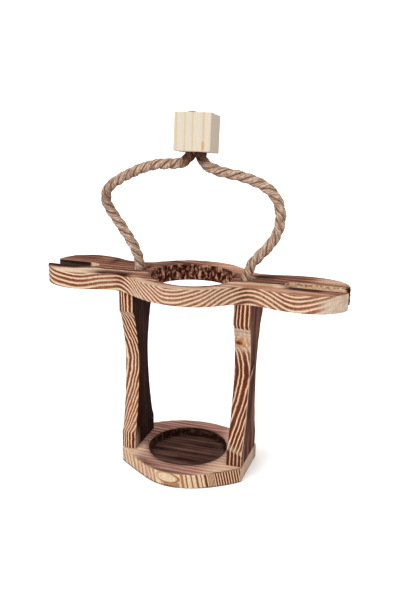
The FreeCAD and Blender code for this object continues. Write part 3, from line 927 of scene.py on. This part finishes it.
# a dark band in front of the right slot: partly char, partly a painted shadow of the foot of the glass that hangs in
# the slot, which is not built here
burn_and_shade += up * 1.3 * np.exp(-np.abs((x - 113) / 17) ** 4 - ((y + 14.3) / 4.8) ** 2)
burn_and_shade += up * 0.6 * np.exp(-np.abs((x - 138) / 13) ** 4 - ((y + 12.5) / 3.5) ** 2)
burn_and_shade += up * 0.75 * blob(x, y, 68, -27.5, 12, 2.6)
burn_and_shade += up * 0.55 * gauss(y, 8.4, 1.3) * smooth(114, 122, x)
L1 = [(-101, -14.2), (-95, -14.0), (-80, -13.5), (-70, -13.0), (-60, -12.0), (-50, -11.3), (-42, -10.5)]
L2 = [(41, -15.0), (50, -13.3), (60, -12.3), (70, -11.0), (80, -9.8), (88, -9.0)]
burn_and_shade += up * 0.80 * stripe(x, y - 4.6, L1, 1.6)
burn_and_shade += up * 0.65 * stripe(x, y, [(60, -1.0), (70, 0.5), (80, 2.0), (95, 3.0)], 1.5)
burn_and_shade += up * 0.80 * stripe(x, y, [(62, -5.5), (75, -4.6), (90, -3.0), (101, -2.4)], 1.9)
burn_and_shade += up * 0.65 * stripe(x, y, [(43, -9.4), (52, -8.8), (61, -8.0)], 1.4)
burn_and_shade += up * 0.45 * stripe(x, y, [(30, -29.5), (44, -28.4), (56, -28.0)], 1.4)
burn_and_shade += up * 0.25 * gauss(rad, 1.0, 0.05) * (y > -25)
burn_and_shade += side_f * (0.42 * gauss(x, -67, 6) + 0.34 * gauss(x, 60, 7)) * smooth(0.3, 0.5, ring % 1)
# dark ticks where the bands of the front reach its upper arris
tick = smooth(0.30, 0.42, ring % 1) * smooth(0.75, 0.62, ring % 1) * smooth(202.0, 203.6, z) * side_f
burn_and_shade += tick * 0.75 * (smooth(-52, -44, x) * smooth(-2, -8, x) + smooth(12, 18, x) * smooth(64, 58, x))
burn_and_shade += side_f * 0.5 * smooth(-150, -153.5, x) * smooth(0.3, 0.5, ring % 1)
# the slot walls charred along their top; the walls of the left slot towards its mouth darkened as painted shade
burn_and_shade += in_slot * (0.85 * smooth(203.5, 204.4, z) + 1.3 * smooth(-112.0, -115.0, x))
saw = vnoise(np.column_stack([x * 0.55, 0 * x, 0 * x + 3.0]), 91)
burn_and_shade += in_slot * (x > 0) * 0.80 * gauss(z, 202.3 + 0.4 * np.sin(x / 3.7), 0.75) * smooth(0.40, 0.58, saw)
burn_and_shade += in_slot * (x > 0) * 0.35 * gauss(z, 200.4, 0.5) * smooth(0.60, 0.45, saw)
burn_and_shade += in_slot * 1.1 * smooth(147.5, 151.5, x)
burn_and_shade += side_b * 0.30
burn_and_shade += in_hole * 0.8
pale = 0.0 * x
pale += side_f * 0.92 * smooth(126, 142, x) * smooth(0.96, 0.60, (z - 187) / 17.5 * (1 - 0.5 * smooth(138, 152, x)))
pale += side_f * 0.55 * gauss(x, -43, 6) * smooth(196, 189, z)
pale += up * 0.95 * np.exp(-(np.abs(x + 118) / 25.0) ** 4) * smooth(edge - 2.5, edge - 6.0, y)
pale += up * 0.72 * stripe(x, y, L1, 1.4) + up * 0.30 * stripe(x, y + 2.6, L1, 1.0)
pale += up * (0.95 * stripe(x, y, L2, 1.7) + 0.95 * blob(x, y, 90, -12.5, 6.5, 4.2))
pale += up * 0.85 * stripe(x, y, [(18, -34.5), (27, -30.0), (34, -26.0), (45, -25.0), (58, -24.2)], 1.4)
pale += up * 0.80 * stripe(x, y, [(-50, -32.5), (-42, -31.8), (-32, -31.0), (-24, -33.0)], 1.3)
pale += up * 0.50 * smooth(10, 6, inset) * smooth(-50, -42, x) * smooth(50, 38, x)
pale += up * 0.35 * blob(x, y, 136, 20, 16, 10, 4)
pale += up * 0.12 * blob(x, y, 33, 40, 26, 20, 4)
chip = up * blob(x, y, 38.5, 8.0, 6.0, 10.0)
raw = in_slot * 0.92
torn = in_collar * 1.0 + chip * 1.1
topness = smooth(0.45, 0.9, N[:, 2]) + smooth(0.45, 0.9, -N[:, 2])
dep = np.where(side_f | side_b, 0.38, 0.14)
dep = dep * (1 - 0.7 * np.clip(pale, 0, 1))
rr = np.where(np.abs(N[:, 2]) > 0.5, ring2, ring)
disp = relief(rr + 0.1 * (vnoise(P * 0.9, 5) - 0.5), 1.0) * dep * ~(in_slot | in_collar | in_hole)
disp += 0.05 * vnoise(P * np.array([0.3, 2.2, 2.2]), 8)
rough = fbm(P * np.array([0.34, 0.34, 0.22]), 31, 3)
disp += in_collar * 1.3 * np.clip(rough - 0.38, 0, 1)
disp += in_slot * 0.35 * vnoise(np.column_stack([x * 0.9, y * 0.9, z * 0.1]), 61)
disp[N[:, 2] < -0.5] = 0.03
P = P - N * disp[:, None]
TOPW = burnt_pine("burnt_pine_top_board", 0)
clip = lambda v: np.clip(v, 0, 1)
top = make_object("top_board_wood", P, b.F, {
    "ring": ring, "ring2": ring2, "top": clip(topness), "char": clip(char), "burn_and_shade": clip(burn_and_shade), "pale": clip(pale),
    "raw": raw * 1.0, "torn": clip(torn), "knot": 0 * x}, TOPW, 50)
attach(top, "root")
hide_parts("top_board")

# --------------------------------------------------------------- base board
bx0, bx1 = -68.6, 61.4


def arc3(a, m, c, n):
    """Points along the circle through three points."""
    (x1, y1), (x2, y2), (x3, y3) = a, m, c
    d = 2 * (x1 * (y2 - y3) + x2 * (y3 - y1) + x3 * (y1 - y2))
    ux = ((x1 ** 2 + y1 ** 2) * (y2 - y3) + (x2 ** 2 + y2 ** 2) * (y3 - y1) + (x3 ** 2 + y3 ** 2) * (y1 - y2)) / d
    uy = ((x1 ** 2 + y1 ** 2) * (x3 - x2) + (x2 ** 2 + y2 ** 2) * (x1 - x3) + (x3 ** 2 + y3 ** 2) * (x2 - x1)) / d
    r = math.hypot(x1 - ux, y1 - uy)
    t1, t2, t3 = (math.atan2(q[1] - uy, q[0] - ux) for q in (a, m, c))
    t2 = t1 + ((t2 - t1 + math.pi) % (2 * math.pi) - math.pi)
    t3 = t2 + ((t3 - t2 + math.pi) % (2 * math.pi) - math.pi)
    t = np.linspace(t1, t3, n)
    return np.column_stack([ux + r * np.cos(t), uy + r * np.sin(t)])


def join(*runs):
    return np.vstack([r[:-1] for r in runs])

base_front = [(-68.6, -25.4), (-61.4, -30.6), (-54.6, -35.4), (-47.8, -40.1), (-40.8, -44.6), (-33.4, -49.2),
              (-26.4, -53.2), (-19.4, -56.1), (-12.4, -57.9), (-5.2, -58.7), (2.4, -58.6), (10.2, -57.3),
              (17.2, -55.3), (24.8, -52.3), (33.6, -47.9), (43.0, -41.9), (52.4, -34.8), (61.4, -26.4)]
f_arc = resample(cubic(base_front, 30), step * 0.72)
b_arc = resample(arc3((bx1, 29.0), (-3.6, 58.6), (bx0, 29.0), 800), step)
e1 = resample([(bx1, -26.4), (bx1, 29.0)], step)
e2 = resample([(bx0, 29.0), (bx0, -25.4)], step)
outline = join(f_arc, e1, b_arc, e2)
recess = circle(-4.6, 0.0, 40.5, step)
b = board([outline], 0.0, 16.0, 1.2, 1.2, step * 0.85, step * 1.05, step * 2.0, [(recess, 8.0, 0.8)])
P, N = b.arrays()
x, y, z = P.T
wall = np.abs(N[:, 2]) < 0.5
up = N[:, 2] > 0.5
rad = np.hypot(x + 4.6, y)
in_rec = (rad < 41.5) & (z < 15.9) & (z > 7.5)
front = wall & (y < -20) & ~in_rec & (np.abs(x + 3.6) < 64.9)
q = np.column_stack([x * 0.016, y * 0.13, z * 0.12])
st = fbm(q, 53, 3)
q2 = np.column_stack([x * 0.07, y * 0.07, z * 0.05])
st2 = fbm(q2, 57, 2)
# the front shows the rings nearly upright, close together on the right and hardly at all on the left
px = x + 0.347 * y + 0.18 * (z - 8)
bands = [(-38.0, 3.0), (-11.5, 3.0)]
for k, (at, wide) in enumerate([(-9.6, 1.2), (-5.1, 0.6), (0.4, 0.6), (6.0, 1.0), (10.6, 0.4), (15.1, 1.2)]):
    bands += [(at - wide - 0.5, 3.05 + k), (at - wide, 3.3 + k), (at + wide, 3.7 + k), (at + wide + 0.5, 3.95 + k)]
bands += [(17.3, 9.0), (24.6, 14.0), (26.1, 14.5)] + [(26.1 + 2.8 * k, 14.5 + k) for k in range(1, 14)]
ring = np.interp(px, [a[0] for a in bands], [a[1] for a in bands]) + np.minimum(px + 38.0, 0.0) / 4.4
# a flame-shaped figure low on the left of the front
fu, fv = (px + 27.4) / np.where(px > -27.4, 14.2, 9.8), (z - 9.8) / np.where(z < 9.8, 5.2, 5.8)
fr = np.hypot(fu, fv)
flame = front * smooth(0.95, 0.75, fr)
hook = front * gauss(fr, 0.99, 0.15) * np.clip(smooth(-0.1, -0.5, fv) + smooth(0.3, 0.7, fu), 0, 1)
hook *= smooth(-0.9, -0.4, fu)
under = front * smooth(-36, -28, px) * smooth(-12, -15, px) * smooth(0.98, 1.10, fr) * smooth(7, 5, z) * smooth(0.2, 1.4, z)
ring = np.where(fr < 1.15, np.interp(
    fr, [0, 0.44, 0.52, 0.60, 0.72, 0.78, 0.84, 0.90, 1.06, 1.10, 1.15],
    [2.0, 2.02, 2.26, 2.04, 2.02, 2.22, 2.06, 2.35, 2.65, 2.95, 3.0]), ring)
ring = ring + (0.25 + 0.9 * smooth(-34, -46, px)) * (st2 - 0.5)
ring = np.where(front, ring, 0.30 * (y * 1.0 + 0.2 * x) + 0.8 * (st - 0.5))
ring2 = (y + 1.6 * np.sin(x / 33.0 + 2.0)) / 5.6 + 0.9 * (st - 0.5)
char = np.where(front, 0.10, 0.35)
char += front * 0.80 * smooth(23.5, 26.5, px)
char += front * (0.42 * gauss(px, -9.6, 2.4) + 0.30 * gauss(px, -5.1, 1.6) + 0.30 * gauss(px, 0.4, 1.6)
                 + 0.45 * gauss(px, 6.0, 2.0) + 0.25 * gauss(px, 10.6, 1.4) + 0.70 * gauss(px, 15.1, 2.4))
char += front * 0.35 * smooth(16.4, 17.6, px) * smooth(25, 23.5, px) + hook * 0.42 + under * 0.45
right_top = smooth(16, 42, x)
left_top = np.clip(blob(x, y, -60, -20, 14, 15, 4) + 0.45 * blob(x, y, -46, -32, 16, 10), 0, 1)
char = np.where(up, 1.0 - 0.95 * np.clip(right_top + left_top, 0, 1), char)
# how far in from the front edge
inset = y - np.interp(x, f_arc[:, 0], f_arc[:, 1])
burn_and_shade = up * np.clip((st - 0.52) * 0.9, 0, 0.45) + in_rec * 0.85
burn_and_shade += up * 0.35 * gauss(rad, 41.5, 2.2)
burn_and_shade += up * 0.40 * smooth(11, 3, inset) * smooth(-50, -36, x) * smooth(18, -6, x)
burn_and_shade += up * 0.70 * smooth(3.0, 1.2, inset) * smooth(30, 40, x)
burn_and_shade += up * 0.15 * blob(x, y, -30, -38, 16, 8)
burn_and_shade += under * 0.40 + front * 0.05 * smooth(-34, -44, px)
burn_and_shade += wall * (np.abs(N[:, 0]) > 0.9) * 0.10
burn_and_shade += wall * (y > 20) * 0.30
burn_and_shade += (y < -20) * (N[:, 2] < 0.5) * ~in_rec * 0.95 * smooth(2.6, 1.5, z) * smooth(8, -6, x) * (0.65 + 0.35 * np.sin(x * 2.1))
burn_and_shade += (y < -20) * (N[:, 2] < 0.5) * ~in_rec * 0.5 * smooth(2.2, 1.2, z) * smooth(20, 30, x)
burn_and_shade += front * 0.65 * smooth(13.8, 15.6, z) * gauss(x, -37, 16)
pale = up * (0.22 * right_top + 0.50 * left_top)
pale += front * 0.36 * smooth(-34, -44, px) + flame * 0.15
pale += 0.60 * front * np.clip(gauss(fr, 0.99, 0.14) - 1.3 * hook, 0, 1)
pale += wall * (x > 61.0) * 0.8
knot = hook * 0.26 + under * 0.50 + front * 0.30 * (gauss(px, -9.6, 1.8) + gauss(px, -47.0, 1.1) + gauss(px, -54.5, 1.6))
dep = np.where(front, 0.30, 0.12) * (1 - 0.75 * np.clip(pale, 0, 1))
rr = np.where(np.abs(N[:, 2]) > 0.5, ring2, ring)
disp = relief(rr + 0.1 * (vnoise(P * 0.9, 5) - 0.5), 1.0) * dep
disp += 0.04 * vnoise(P * np.array([0.6, 1.6, 1.0]), 8)
disp[N[:, 2] < -0.5] = 0.0
P = P - N * disp[:, None]
BASEW = burnt_pine("burnt_pine_base_board", 0, light=[
    (0.0, lin(232, 208, 172)), (0.16, lin(226, 196, 158)), (0.26, lin(208, 162, 122)), (0.36, lin(192, 136, 98)),
    (0.50, lin(180, 118, 80)), (0.64, lin(192, 136, 98)), (0.74, lin(208, 162, 122)), (0.86, lin(228, 199, 162)),
    (1.0, lin(232, 208, 172))], top=[
    (0.0, lin(216, 170, 152)), (0.06, lin(206, 156, 140)), (0.22, lin(184, 133, 117)), (0.55, lin(152, 104, 92)),
    (0.8, lin(186, 136, 120)), (0.94, lin(208, 160, 142)), (1.0, lin(216, 170, 152))], warm=[
    (0.0, lin(250, 214, 188)), (0.2, lin(240, 196, 166)), (0.5, lin(206, 154, 124)), (0.75, lin(236, 190, 158)),
    (1.0, lin(250, 214, 188))])
base = make_object("base_board_wood", P, b.F, {
    "ring": ring, "ring2": ring2, "top": clip(smooth(0.45, 0.9, N[:, 2]) + smooth(0.45, 0.9, -N[:, 2])),
    "char": clip(char), "burn_and_shade": clip(burn_and_shade), "pale": clip(pale), "raw": 0 * x, "torn": 0 * x,
    "knot": clip(knot)}, BASEW, 50)
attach(base, "root")
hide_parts("base_board")

# ----------------------------------------------------------------- uprights
scoop = [(25.0, 33.5), (22.4, 39.5), (19.4, 50.5), (16.6, 64.0), (14.3, 79.0), (12.5, 96.0), (11.7, 110.5),
         (12.6, 124.5), (14.9, 138.0), (18.0, 150.5), (21.2, 160.8), (25.0, 166.5)]
UB, UT = 16.0, 187.0


def upright_loop(ds, ext):
    """Outline in (y, z), anticlockwise."""
    back = resample(cubic([(y, z) for y, z in scoop], 40), ds)
    frnt = resample(cubic([(-y, z) for y, z in scoop[::-1]], 40), ds)
    seg = lambda a, c: resample([a, c], ds)
    lo, hi = UB - ext, UT + ext
    return join(seg((25.0, lo), (25.0, 33.5)), back, seg((25.0, 166.5), (25.0, hi)),
                seg((25.0, hi), (-25.0, hi)), seg((-25.0, hi), (-25.0, 166.5)), frnt,
                seg((-25.0, 33.5), (-25.0, lo)), seg((-25.0, lo), (25.0, lo)))


def lut(w, pairs):
    """Ring count across the thickness w, with the end slopes carried on."""
    a = np.array(pairs, float)
    s0 = (a[1, 1] - a[0, 1]) / (a[1, 0] - a[0, 0])
    s1 = (a[-1, 1] - a[-2, 1]) / (a[-1, 0] - a[-2, 0])
    n = np.interp(w, a[:, 0], a[:, 1])
    n = np.where(w < a[0, 0], a[0, 1] + (w - a[0, 0]) * s0, n)
    return np.where(w > a[-1, 0], a[-1, 1] + (w - a[-1, 0]) * s1, n)


def upright(thick, ext, seed):
    b = board([upright_loop(step, ext)], 0.0, thick, 0.9, 0.9, step * 0.8, step * 1.15, step * 1.15)
    P2, N2 = b.arrays()
    # board axes (y, z, thickness) to the row's axes
    w = P2[:, 2]
    P = np.column_stack([w, P2[:, 0], P2[:, 1]])
    N = np.column_stack([N2[:, 2], N2[:, 0], N2[:, 1]])
    y, z = P[:, 1], P[:, 2]
    wav = 0.30 * (fbm(np.column_stack([w * 0.05, y * 0.05, z * 0.06]), seed, 2) - 0.5) \
        + 0.30 * (vnoise(np.column_stack([w * 0.2, y * 0.1, z * 0.22]), seed + 3) - 0.5) \
        + 0.16 * (vnoise(np.column_stack([w * 0.5, y * 0.3, z * 0.75]), seed + 5) - 0.5)
    st = fbm(np.column_stack([w * 0.2, y * 0.16, z * 0.012]), seed - 12, 3)
    narrow = np.abs(N[:, 1]) > 0.5
    inner_outer = np.abs(N[:, 0]) > 0.5
    return b, P, N, w, y, z, 25.0 - np.abs(y), wav, st, narrow, inner_outer


UPW = burnt_pine("burnt_pine_uprights", 2)

# left upright
b, P, N, w, y, z, d, wav, st, narrow, broad = upright(15.4, 0.0, 100)
n_bot = lut(w, [(0.8, 0.5), (2.0, 1), (3.1, 1.5), (4.1, 2), (5.5, 2.5), (6.7, 3), (8.4, 3.5), (10, 4), (11.9, 4.5),
                (14.3, 5)])
n_top = lut(w, [(0.4, 0), (1.9, 0.5), (3.4, 1), (4.6, 1.5), (5.8, 2), (7.5, 2.5), (9.3, 3), (11.6, 3.5), (14.0, 4)])
n_mid = lut(w, [(0.6, -0.5), (3.2, 0), (5.8, 0.5), (8.3, 1), (9.9, 1.5), (11.5, 2), (13.5, 2.5), (15.5, 3)])
t = np.clip(d / 13.3, 0, 1)
n_end = n_bot + (n_top - n_bot) * smooth(85, 125, z) + 4
ring = (1 - t) * n_end + t * n_mid + 0.8 * (w / 15.4) * 4 * t * (1 - t) + wav
inner = N[:, 0] > 0.5
outer = N[:, 0] < -0.5
front = narrow & (y < 0)
ring2 = (y + 12.0 * (st - 0.5)) / 5.5
ends = smooth(164, 167.5, z) + smooth(36, 33.0, z)
mid = 1 - np.clip(ends, 0, 1)
char = np.where(narrow, 1.0 * ends + mid * (0.54 + 0.26 * smooth(60, 100, z)), 0.9)
# the inner face very dark: char and painted shade between the uprights, less of both towards its lower front corner,
# which is lighter
burn_and_shade = inner * (1.35 + 0.3 * (st - 0.5)) * (1 - 0.8 * smooth(52, 24, z) * smooth(-6, -22, y))
burn_and_shade += outer * np.clip(0.30 + 1.4 * (st - 0.5), 0, 0.8)
burn_and_shade += narrow * smooth(12.0, 15.4, w) * ends * 0.30
pale = narrow * (0.35 * gauss(z, 163.0, 3.0) + 0.20 * gauss(z, 38.0, 4.0)) * mid
pale += inner * 0.35 * smooth(44, 22, z) * smooth(-12, -22, y)
knot = narrow * 0.14 * smooth(100, 60, z) * mid
dep = np.where(narrow, 0.30, 0.12) * (1 - 0.6 * np.clip(pale, 0, 1))
rr = np.where(broad, ring2, ring)
disp = relief(rr, 1.0) * dep + 0.05 * vnoise(P * np.array([2.0, 2.0, 0.3]), 4)
P = P - N * disp[:, None]
P[:, 0] += -68.6
left = make_object("left_upright_wood", P, b.F, {
    "ring": ring, "ring2": ring2, "top": broad * 1.0, "char": clip(char), "burn_and_shade": clip(burn_and_shade), "pale": clip(pale),
    "raw": 0 * w, "torn": 0 * w, "knot": clip(knot)}, UPW, 50)
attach(left, "root")
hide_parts("left_upright")

# right upright
b, P, N, w, y, z, d, wav, st, narrow, broad = upright(16.6, 1.0, 140)
n_top = lut(w, [(0.8, 0), (2.3, 0.5), (3.8, 1), (5.5, 1.5), (7.1, 2), (8.9, 2.5), (11.2, 3), (13.8, 3.5), (15.6, 4)])
n_bot = (w - 3.9) / 3.9 + 4
run = [(0.2, 0), (5.4, 1), (9.2, 2), (15.5, 3), (19.2, 4), (23.0, 5), (26.8, 6), (30.6, 7)]
slant = np.sqrt((z - 112.0) ** 2 + 400.0) - 20.0
n_low = lut(w + 0.245 * slant, run)
n_up = lut(w + 0.28 * slant, run)
n_up = n_up + (n_top + 4 - n_up) * smooth(159.6, 161.2, z)
foot = z + 0.30 * (w - 8.0)
n_low = n_low + (n_bot - n_low) * smooth(31.6, 30.2, foot)
ring = n_low + (n_up - n_low) * smooth(104, 116, z) + 0.55 * wav
# the burnt bands are wider than the lines between them
ring = ring + 0.50 * np.sin(2 * math.pi * ring) / (2 * math.pi) * narrow
inner = N[:, 0] < -0.5
outer = N[:, 0] > 0.5
front = narrow & (y < 0)
kx, kz = 5.2, 145.8
kr = np.hypot((w - kx) / 1.15, (z - kz) / 1.0)
kfield = np.exp(-(kr / 6.2) ** 2) * (y < 0)
ring = ring + 1.3 * kfield * narrow
ring2 = (y + 12.0 * (st - 0.5)) / 5.5
ends = smooth(160.6, 162.4, z) + smooth(31.0, 29.2, foot)
mid = 1 - np.clip(ends, 0, 1)
char = np.where(narrow, 0.90 * ends + mid * (0.58 + 0.30 * smooth(138, 126, z)), 0.85)
burn_and_shade = narrow * 0.35 * gauss(z, 158.6, 0.7)
# the inner face darker: char and painted shade between the uprights; the outer face scorched in streaks
burn_and_shade += inner * (0.6 + 0.5 * (st - 0.5)) + outer * np.clip(0.55 + 2.2 * (st - 0.5), 0, 0.88)
slit = np.exp(-((w - 4.7) / 2.3) ** 2 - ((z - 145.4) / 1.35) ** 2) * front
# a chip out of the front arris
chip = smooth(13.5, 15.8, w) * gauss(z, 104.5 + 0.75 * (y + 12.0), 2.7) * smooth(5.0, -2.0, y)
shadow = smooth(13.5, 15.8, w) * gauss(z, 111.5 + 0.75 * (y + 12.0), 3.4) * smooth(4.0, -4.0, y)
burn_and_shade = burn_and_shade * (1 - chip) + 0.5 * shadow
burn_and_shade += slit * 2.2
# the foot darker towards the bottom, with a band of painted shadow just under its top
burn_and_shade += narrow * (smooth(34, 20, foot) * 0.22 + smooth(25, 30, foot) * 0.30) * smooth(31, 29.4, foot)
pale = narrow * (y < 0) * 0.90 * smooth(134.5, 139, z + 1.2 * np.sin(w * 1.7)) * smooth(162.2, 160.8, z)
pale += narrow * 0.3 * gauss(foot, 33.0, 3.0) * mid
pale += narrow * 0.7 * smooth(15.0, 16.0, w) * mid
knot = kfield * narrow * 0.9
dep = np.where(narrow, 0.32, 0.12) * (1 - 0.8 * np.clip(pale, 0, 1))
rr = np.where(broad, ring2, ring)
disp = relief(rr, 1.0) * dep + 0.05 * vnoise(P * np.array([2.0, 2.0, 0.3]), 4)
disp += slit * 0.8 + chip * 0.6
P = P - N * disp[:, None]
a = math.atan2(5.3, 171.0)
hx, hz = P[:, 0].copy(), P[:, 2] - 16.0
P[:, 0] = hx * math.cos(a) + hz * math.sin(a) + 44.6
P[:, 2] = np.clip(16.0 + hz * math.cos(a) - hx * math.sin(a), 16.0, 187.0)
right = make_object("right_upright_wood", P, b.F, {
    "ring": ring, "ring2": ring2, "top": broad * 1.0, "char": clip(char), "burn_and_shade": clip(burn_and_shade),
    "pale": clip(pale * (1 - np.clip(knot * 1.3, 0, 1))), "raw": clip(0.75 * chip), "torn": 0 * w, "knot": clip(knot)}, UPW, 50)
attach(right, "root")
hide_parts("right_upright")

# --------------------------------------------------------------- grip block
h = half
sq = resample([(-h, -h), (h, -h), (h, h), (-h, h)], 0.9, True)
corner = np.array([(-h, -h), (h, -h), (h, h), (-h, h)])


def rounded_square(h, r, ds):
    runs = []
    for k, (sx, sy) in enumerate([(1, -1), (1, 1), (-1, 1), (-1, -1)]):
        a0 = -math.pi / 2 + k * math.pi / 2
        t = np.linspace(a0, a0 + math.pi / 2, 5)
        runs.append(np.column_stack([sx * (h - r) + r * np.cos(t), sy * (h - r) + r * np.sin(t)]))
    L = []
    for k in range(4):
        L.append(runs[k])
        a, c = runs[k][-1], runs[(k + 1) % 4][0]
        L.append(resample([a, c], ds)[1:-1])
    return np.vstack(L)


bs = 0.8
b = board([rounded_square(h, 0.8, bs), circle(0, 0, 10.0, bs)], -h, h, 0.8, 0.8, bs, bs, bs)
P, N = b.arrays()
x, y, z = P.T
ring = np.interp(np.hypot(x + 46.0, y - 70.0) + 0.25 * np.sin(z / 21.0 + 0.6),
                 [60.0, 90.0, 93.0, 96.0, 99.1, 104.1, 108.5, 150.0], [-9.0, -1.0, 0.0, 1.0, 2.0, 3.0, 4.0, 14.0])
ring = ring + 0.12 * (fbm(np.column_stack([x * 0.2, y * 0.2, z * 0.02]), 9, 2) - 0.5)
streak = np.exp(-((x - 10.7 - 0.03 * (z + 8)) / 1.35) ** 4) * (y < -16) * smooth(-17.2, -15.6, z) * smooth(-8.0, -9.2, z)
streak = streak + 0.5 * np.exp(-((x - 10.9) / 0.5) ** 2) * (y < -16) * smooth(-9, -3, z)
disp = 0.05 * relief(ring, 1.0) + 0.06 * fbm(P * np.array([1.5, 1.5, 0.2]), 6, 2)
chip = np.exp(-(np.hypot(x - h, z - h) / 2.2) ** 2 - ((y + 2.0) / 2.6) ** 2)
disp += 0.7 * chip
P = P - N * disp[:, None]
P = P @ block_R.T + block_c
BLOCK = plain_pine()
# the right (+X) face of the block painted darker as shade
block = make_object("grip_block_wood", P, b.F, {
    "ring": ring, "burn_and_shade": np.clip(streak, 0, 1) * 0.85, "shade": 0.42 * smooth(0.6, 0.9, N[:, 0])}, BLOCK, 50)
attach(block, "root")
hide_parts("grip_block")

# ------------------------------------------------------------- glue, steel
gv, gf = [], []
na, nb = 20, 12
for i in range(nb + 1):
    th = math.pi * i / nb
    for j in range(na):
        ph = 2 * math.pi * j / na
        r = 1 + 0.12 * math.sin(3 * ph + 1) + 0.08 * math.cos(2 * ph)
        gv.append((60.0 + 2.0 * r * math.sin(th) * math.cos(ph), 4.6 + 3.0 * r * math.sin(th) * math.sin(ph),
                   204.5 + 1.5 * math.cos(th)))
for i in range(nb):
    for j in range(na):
        j2 = (j + 1) % na
        gf.append((i * na + j, (i + 1) * na + j, (i + 1) * na + j2, i * na + j2))
glue = make_object("glue_bead", np.array(gv), gf, {}, glue_mat())
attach(glue, "root")

STEEL = steel()
for n in ("base_screws", "top_pins"):
    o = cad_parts[n]
    if not o.material_slots:
        o.data.materials.append(STEEL)
    for s in o.material_slots:
        s.material = STEEL

# ------------------------------------------------------------------- stage
fl = Nodes("floor")
fn = fl.noise(fl.coord((3.0, 3.0, 3.0)), 1.0, 2.0, 0.5)
fl.link(fl.ramp(fn, [(0.3, (0.92, 0.92, 0.92, 1)), (0.7, (0.94, 0.94, 0.94, 1))]), fl.bsdf.inputs["Base Color"])
fl.bsdf.inputs["Roughness"].default_value = 0.9
fl.bsdf.inputs["Specular IOR Level"].default_value = 0.1
me = bpy.data.meshes.new("floor")
me.from_pydata([(-8, -8, 0), (8, -8, 0), (8, 8, 0), (-8, 8, 0)], [], [(0, 1, 2, 3)])
me.materials.append(fl.mat)
floor = bpy.data.objects.new("floor", me)
scene.collection.objects.link(floor)
floor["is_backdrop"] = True

# a pale studio
world = bpy.data.worlds.new("studio")
scene.world = world
world.use_nodes = True
bg = world.node_tree.nodes.get("Background")
bg.inputs[0].default_value = (1.0, 1.0, 1.0, 1.0)
bg.inputs[1].default_value = 1.28

sun = bpy.data.lights.new("sun", "SUN")
sun.energy = 2.15
sun.angle = math.radians(40)
so = bpy.data.objects.new("sun", sun)
az, el = math.radians(-30), math.radians(40)
to_sun = Vector((math.sin(az) * math.cos(el), -math.cos(az) * math.cos(el), math.sin(el)))
so.rotation_euler = (-to_sun).to_track_quat("-Z", "Y").to_euler()
so.location = to_sun * 2
scene.collection.objects.link(so)

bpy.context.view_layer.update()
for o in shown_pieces():
    if o.type == "MESH":
        print("tris", o.name, sum(len(p.vertices) - 2 for p in o.data.polygons))
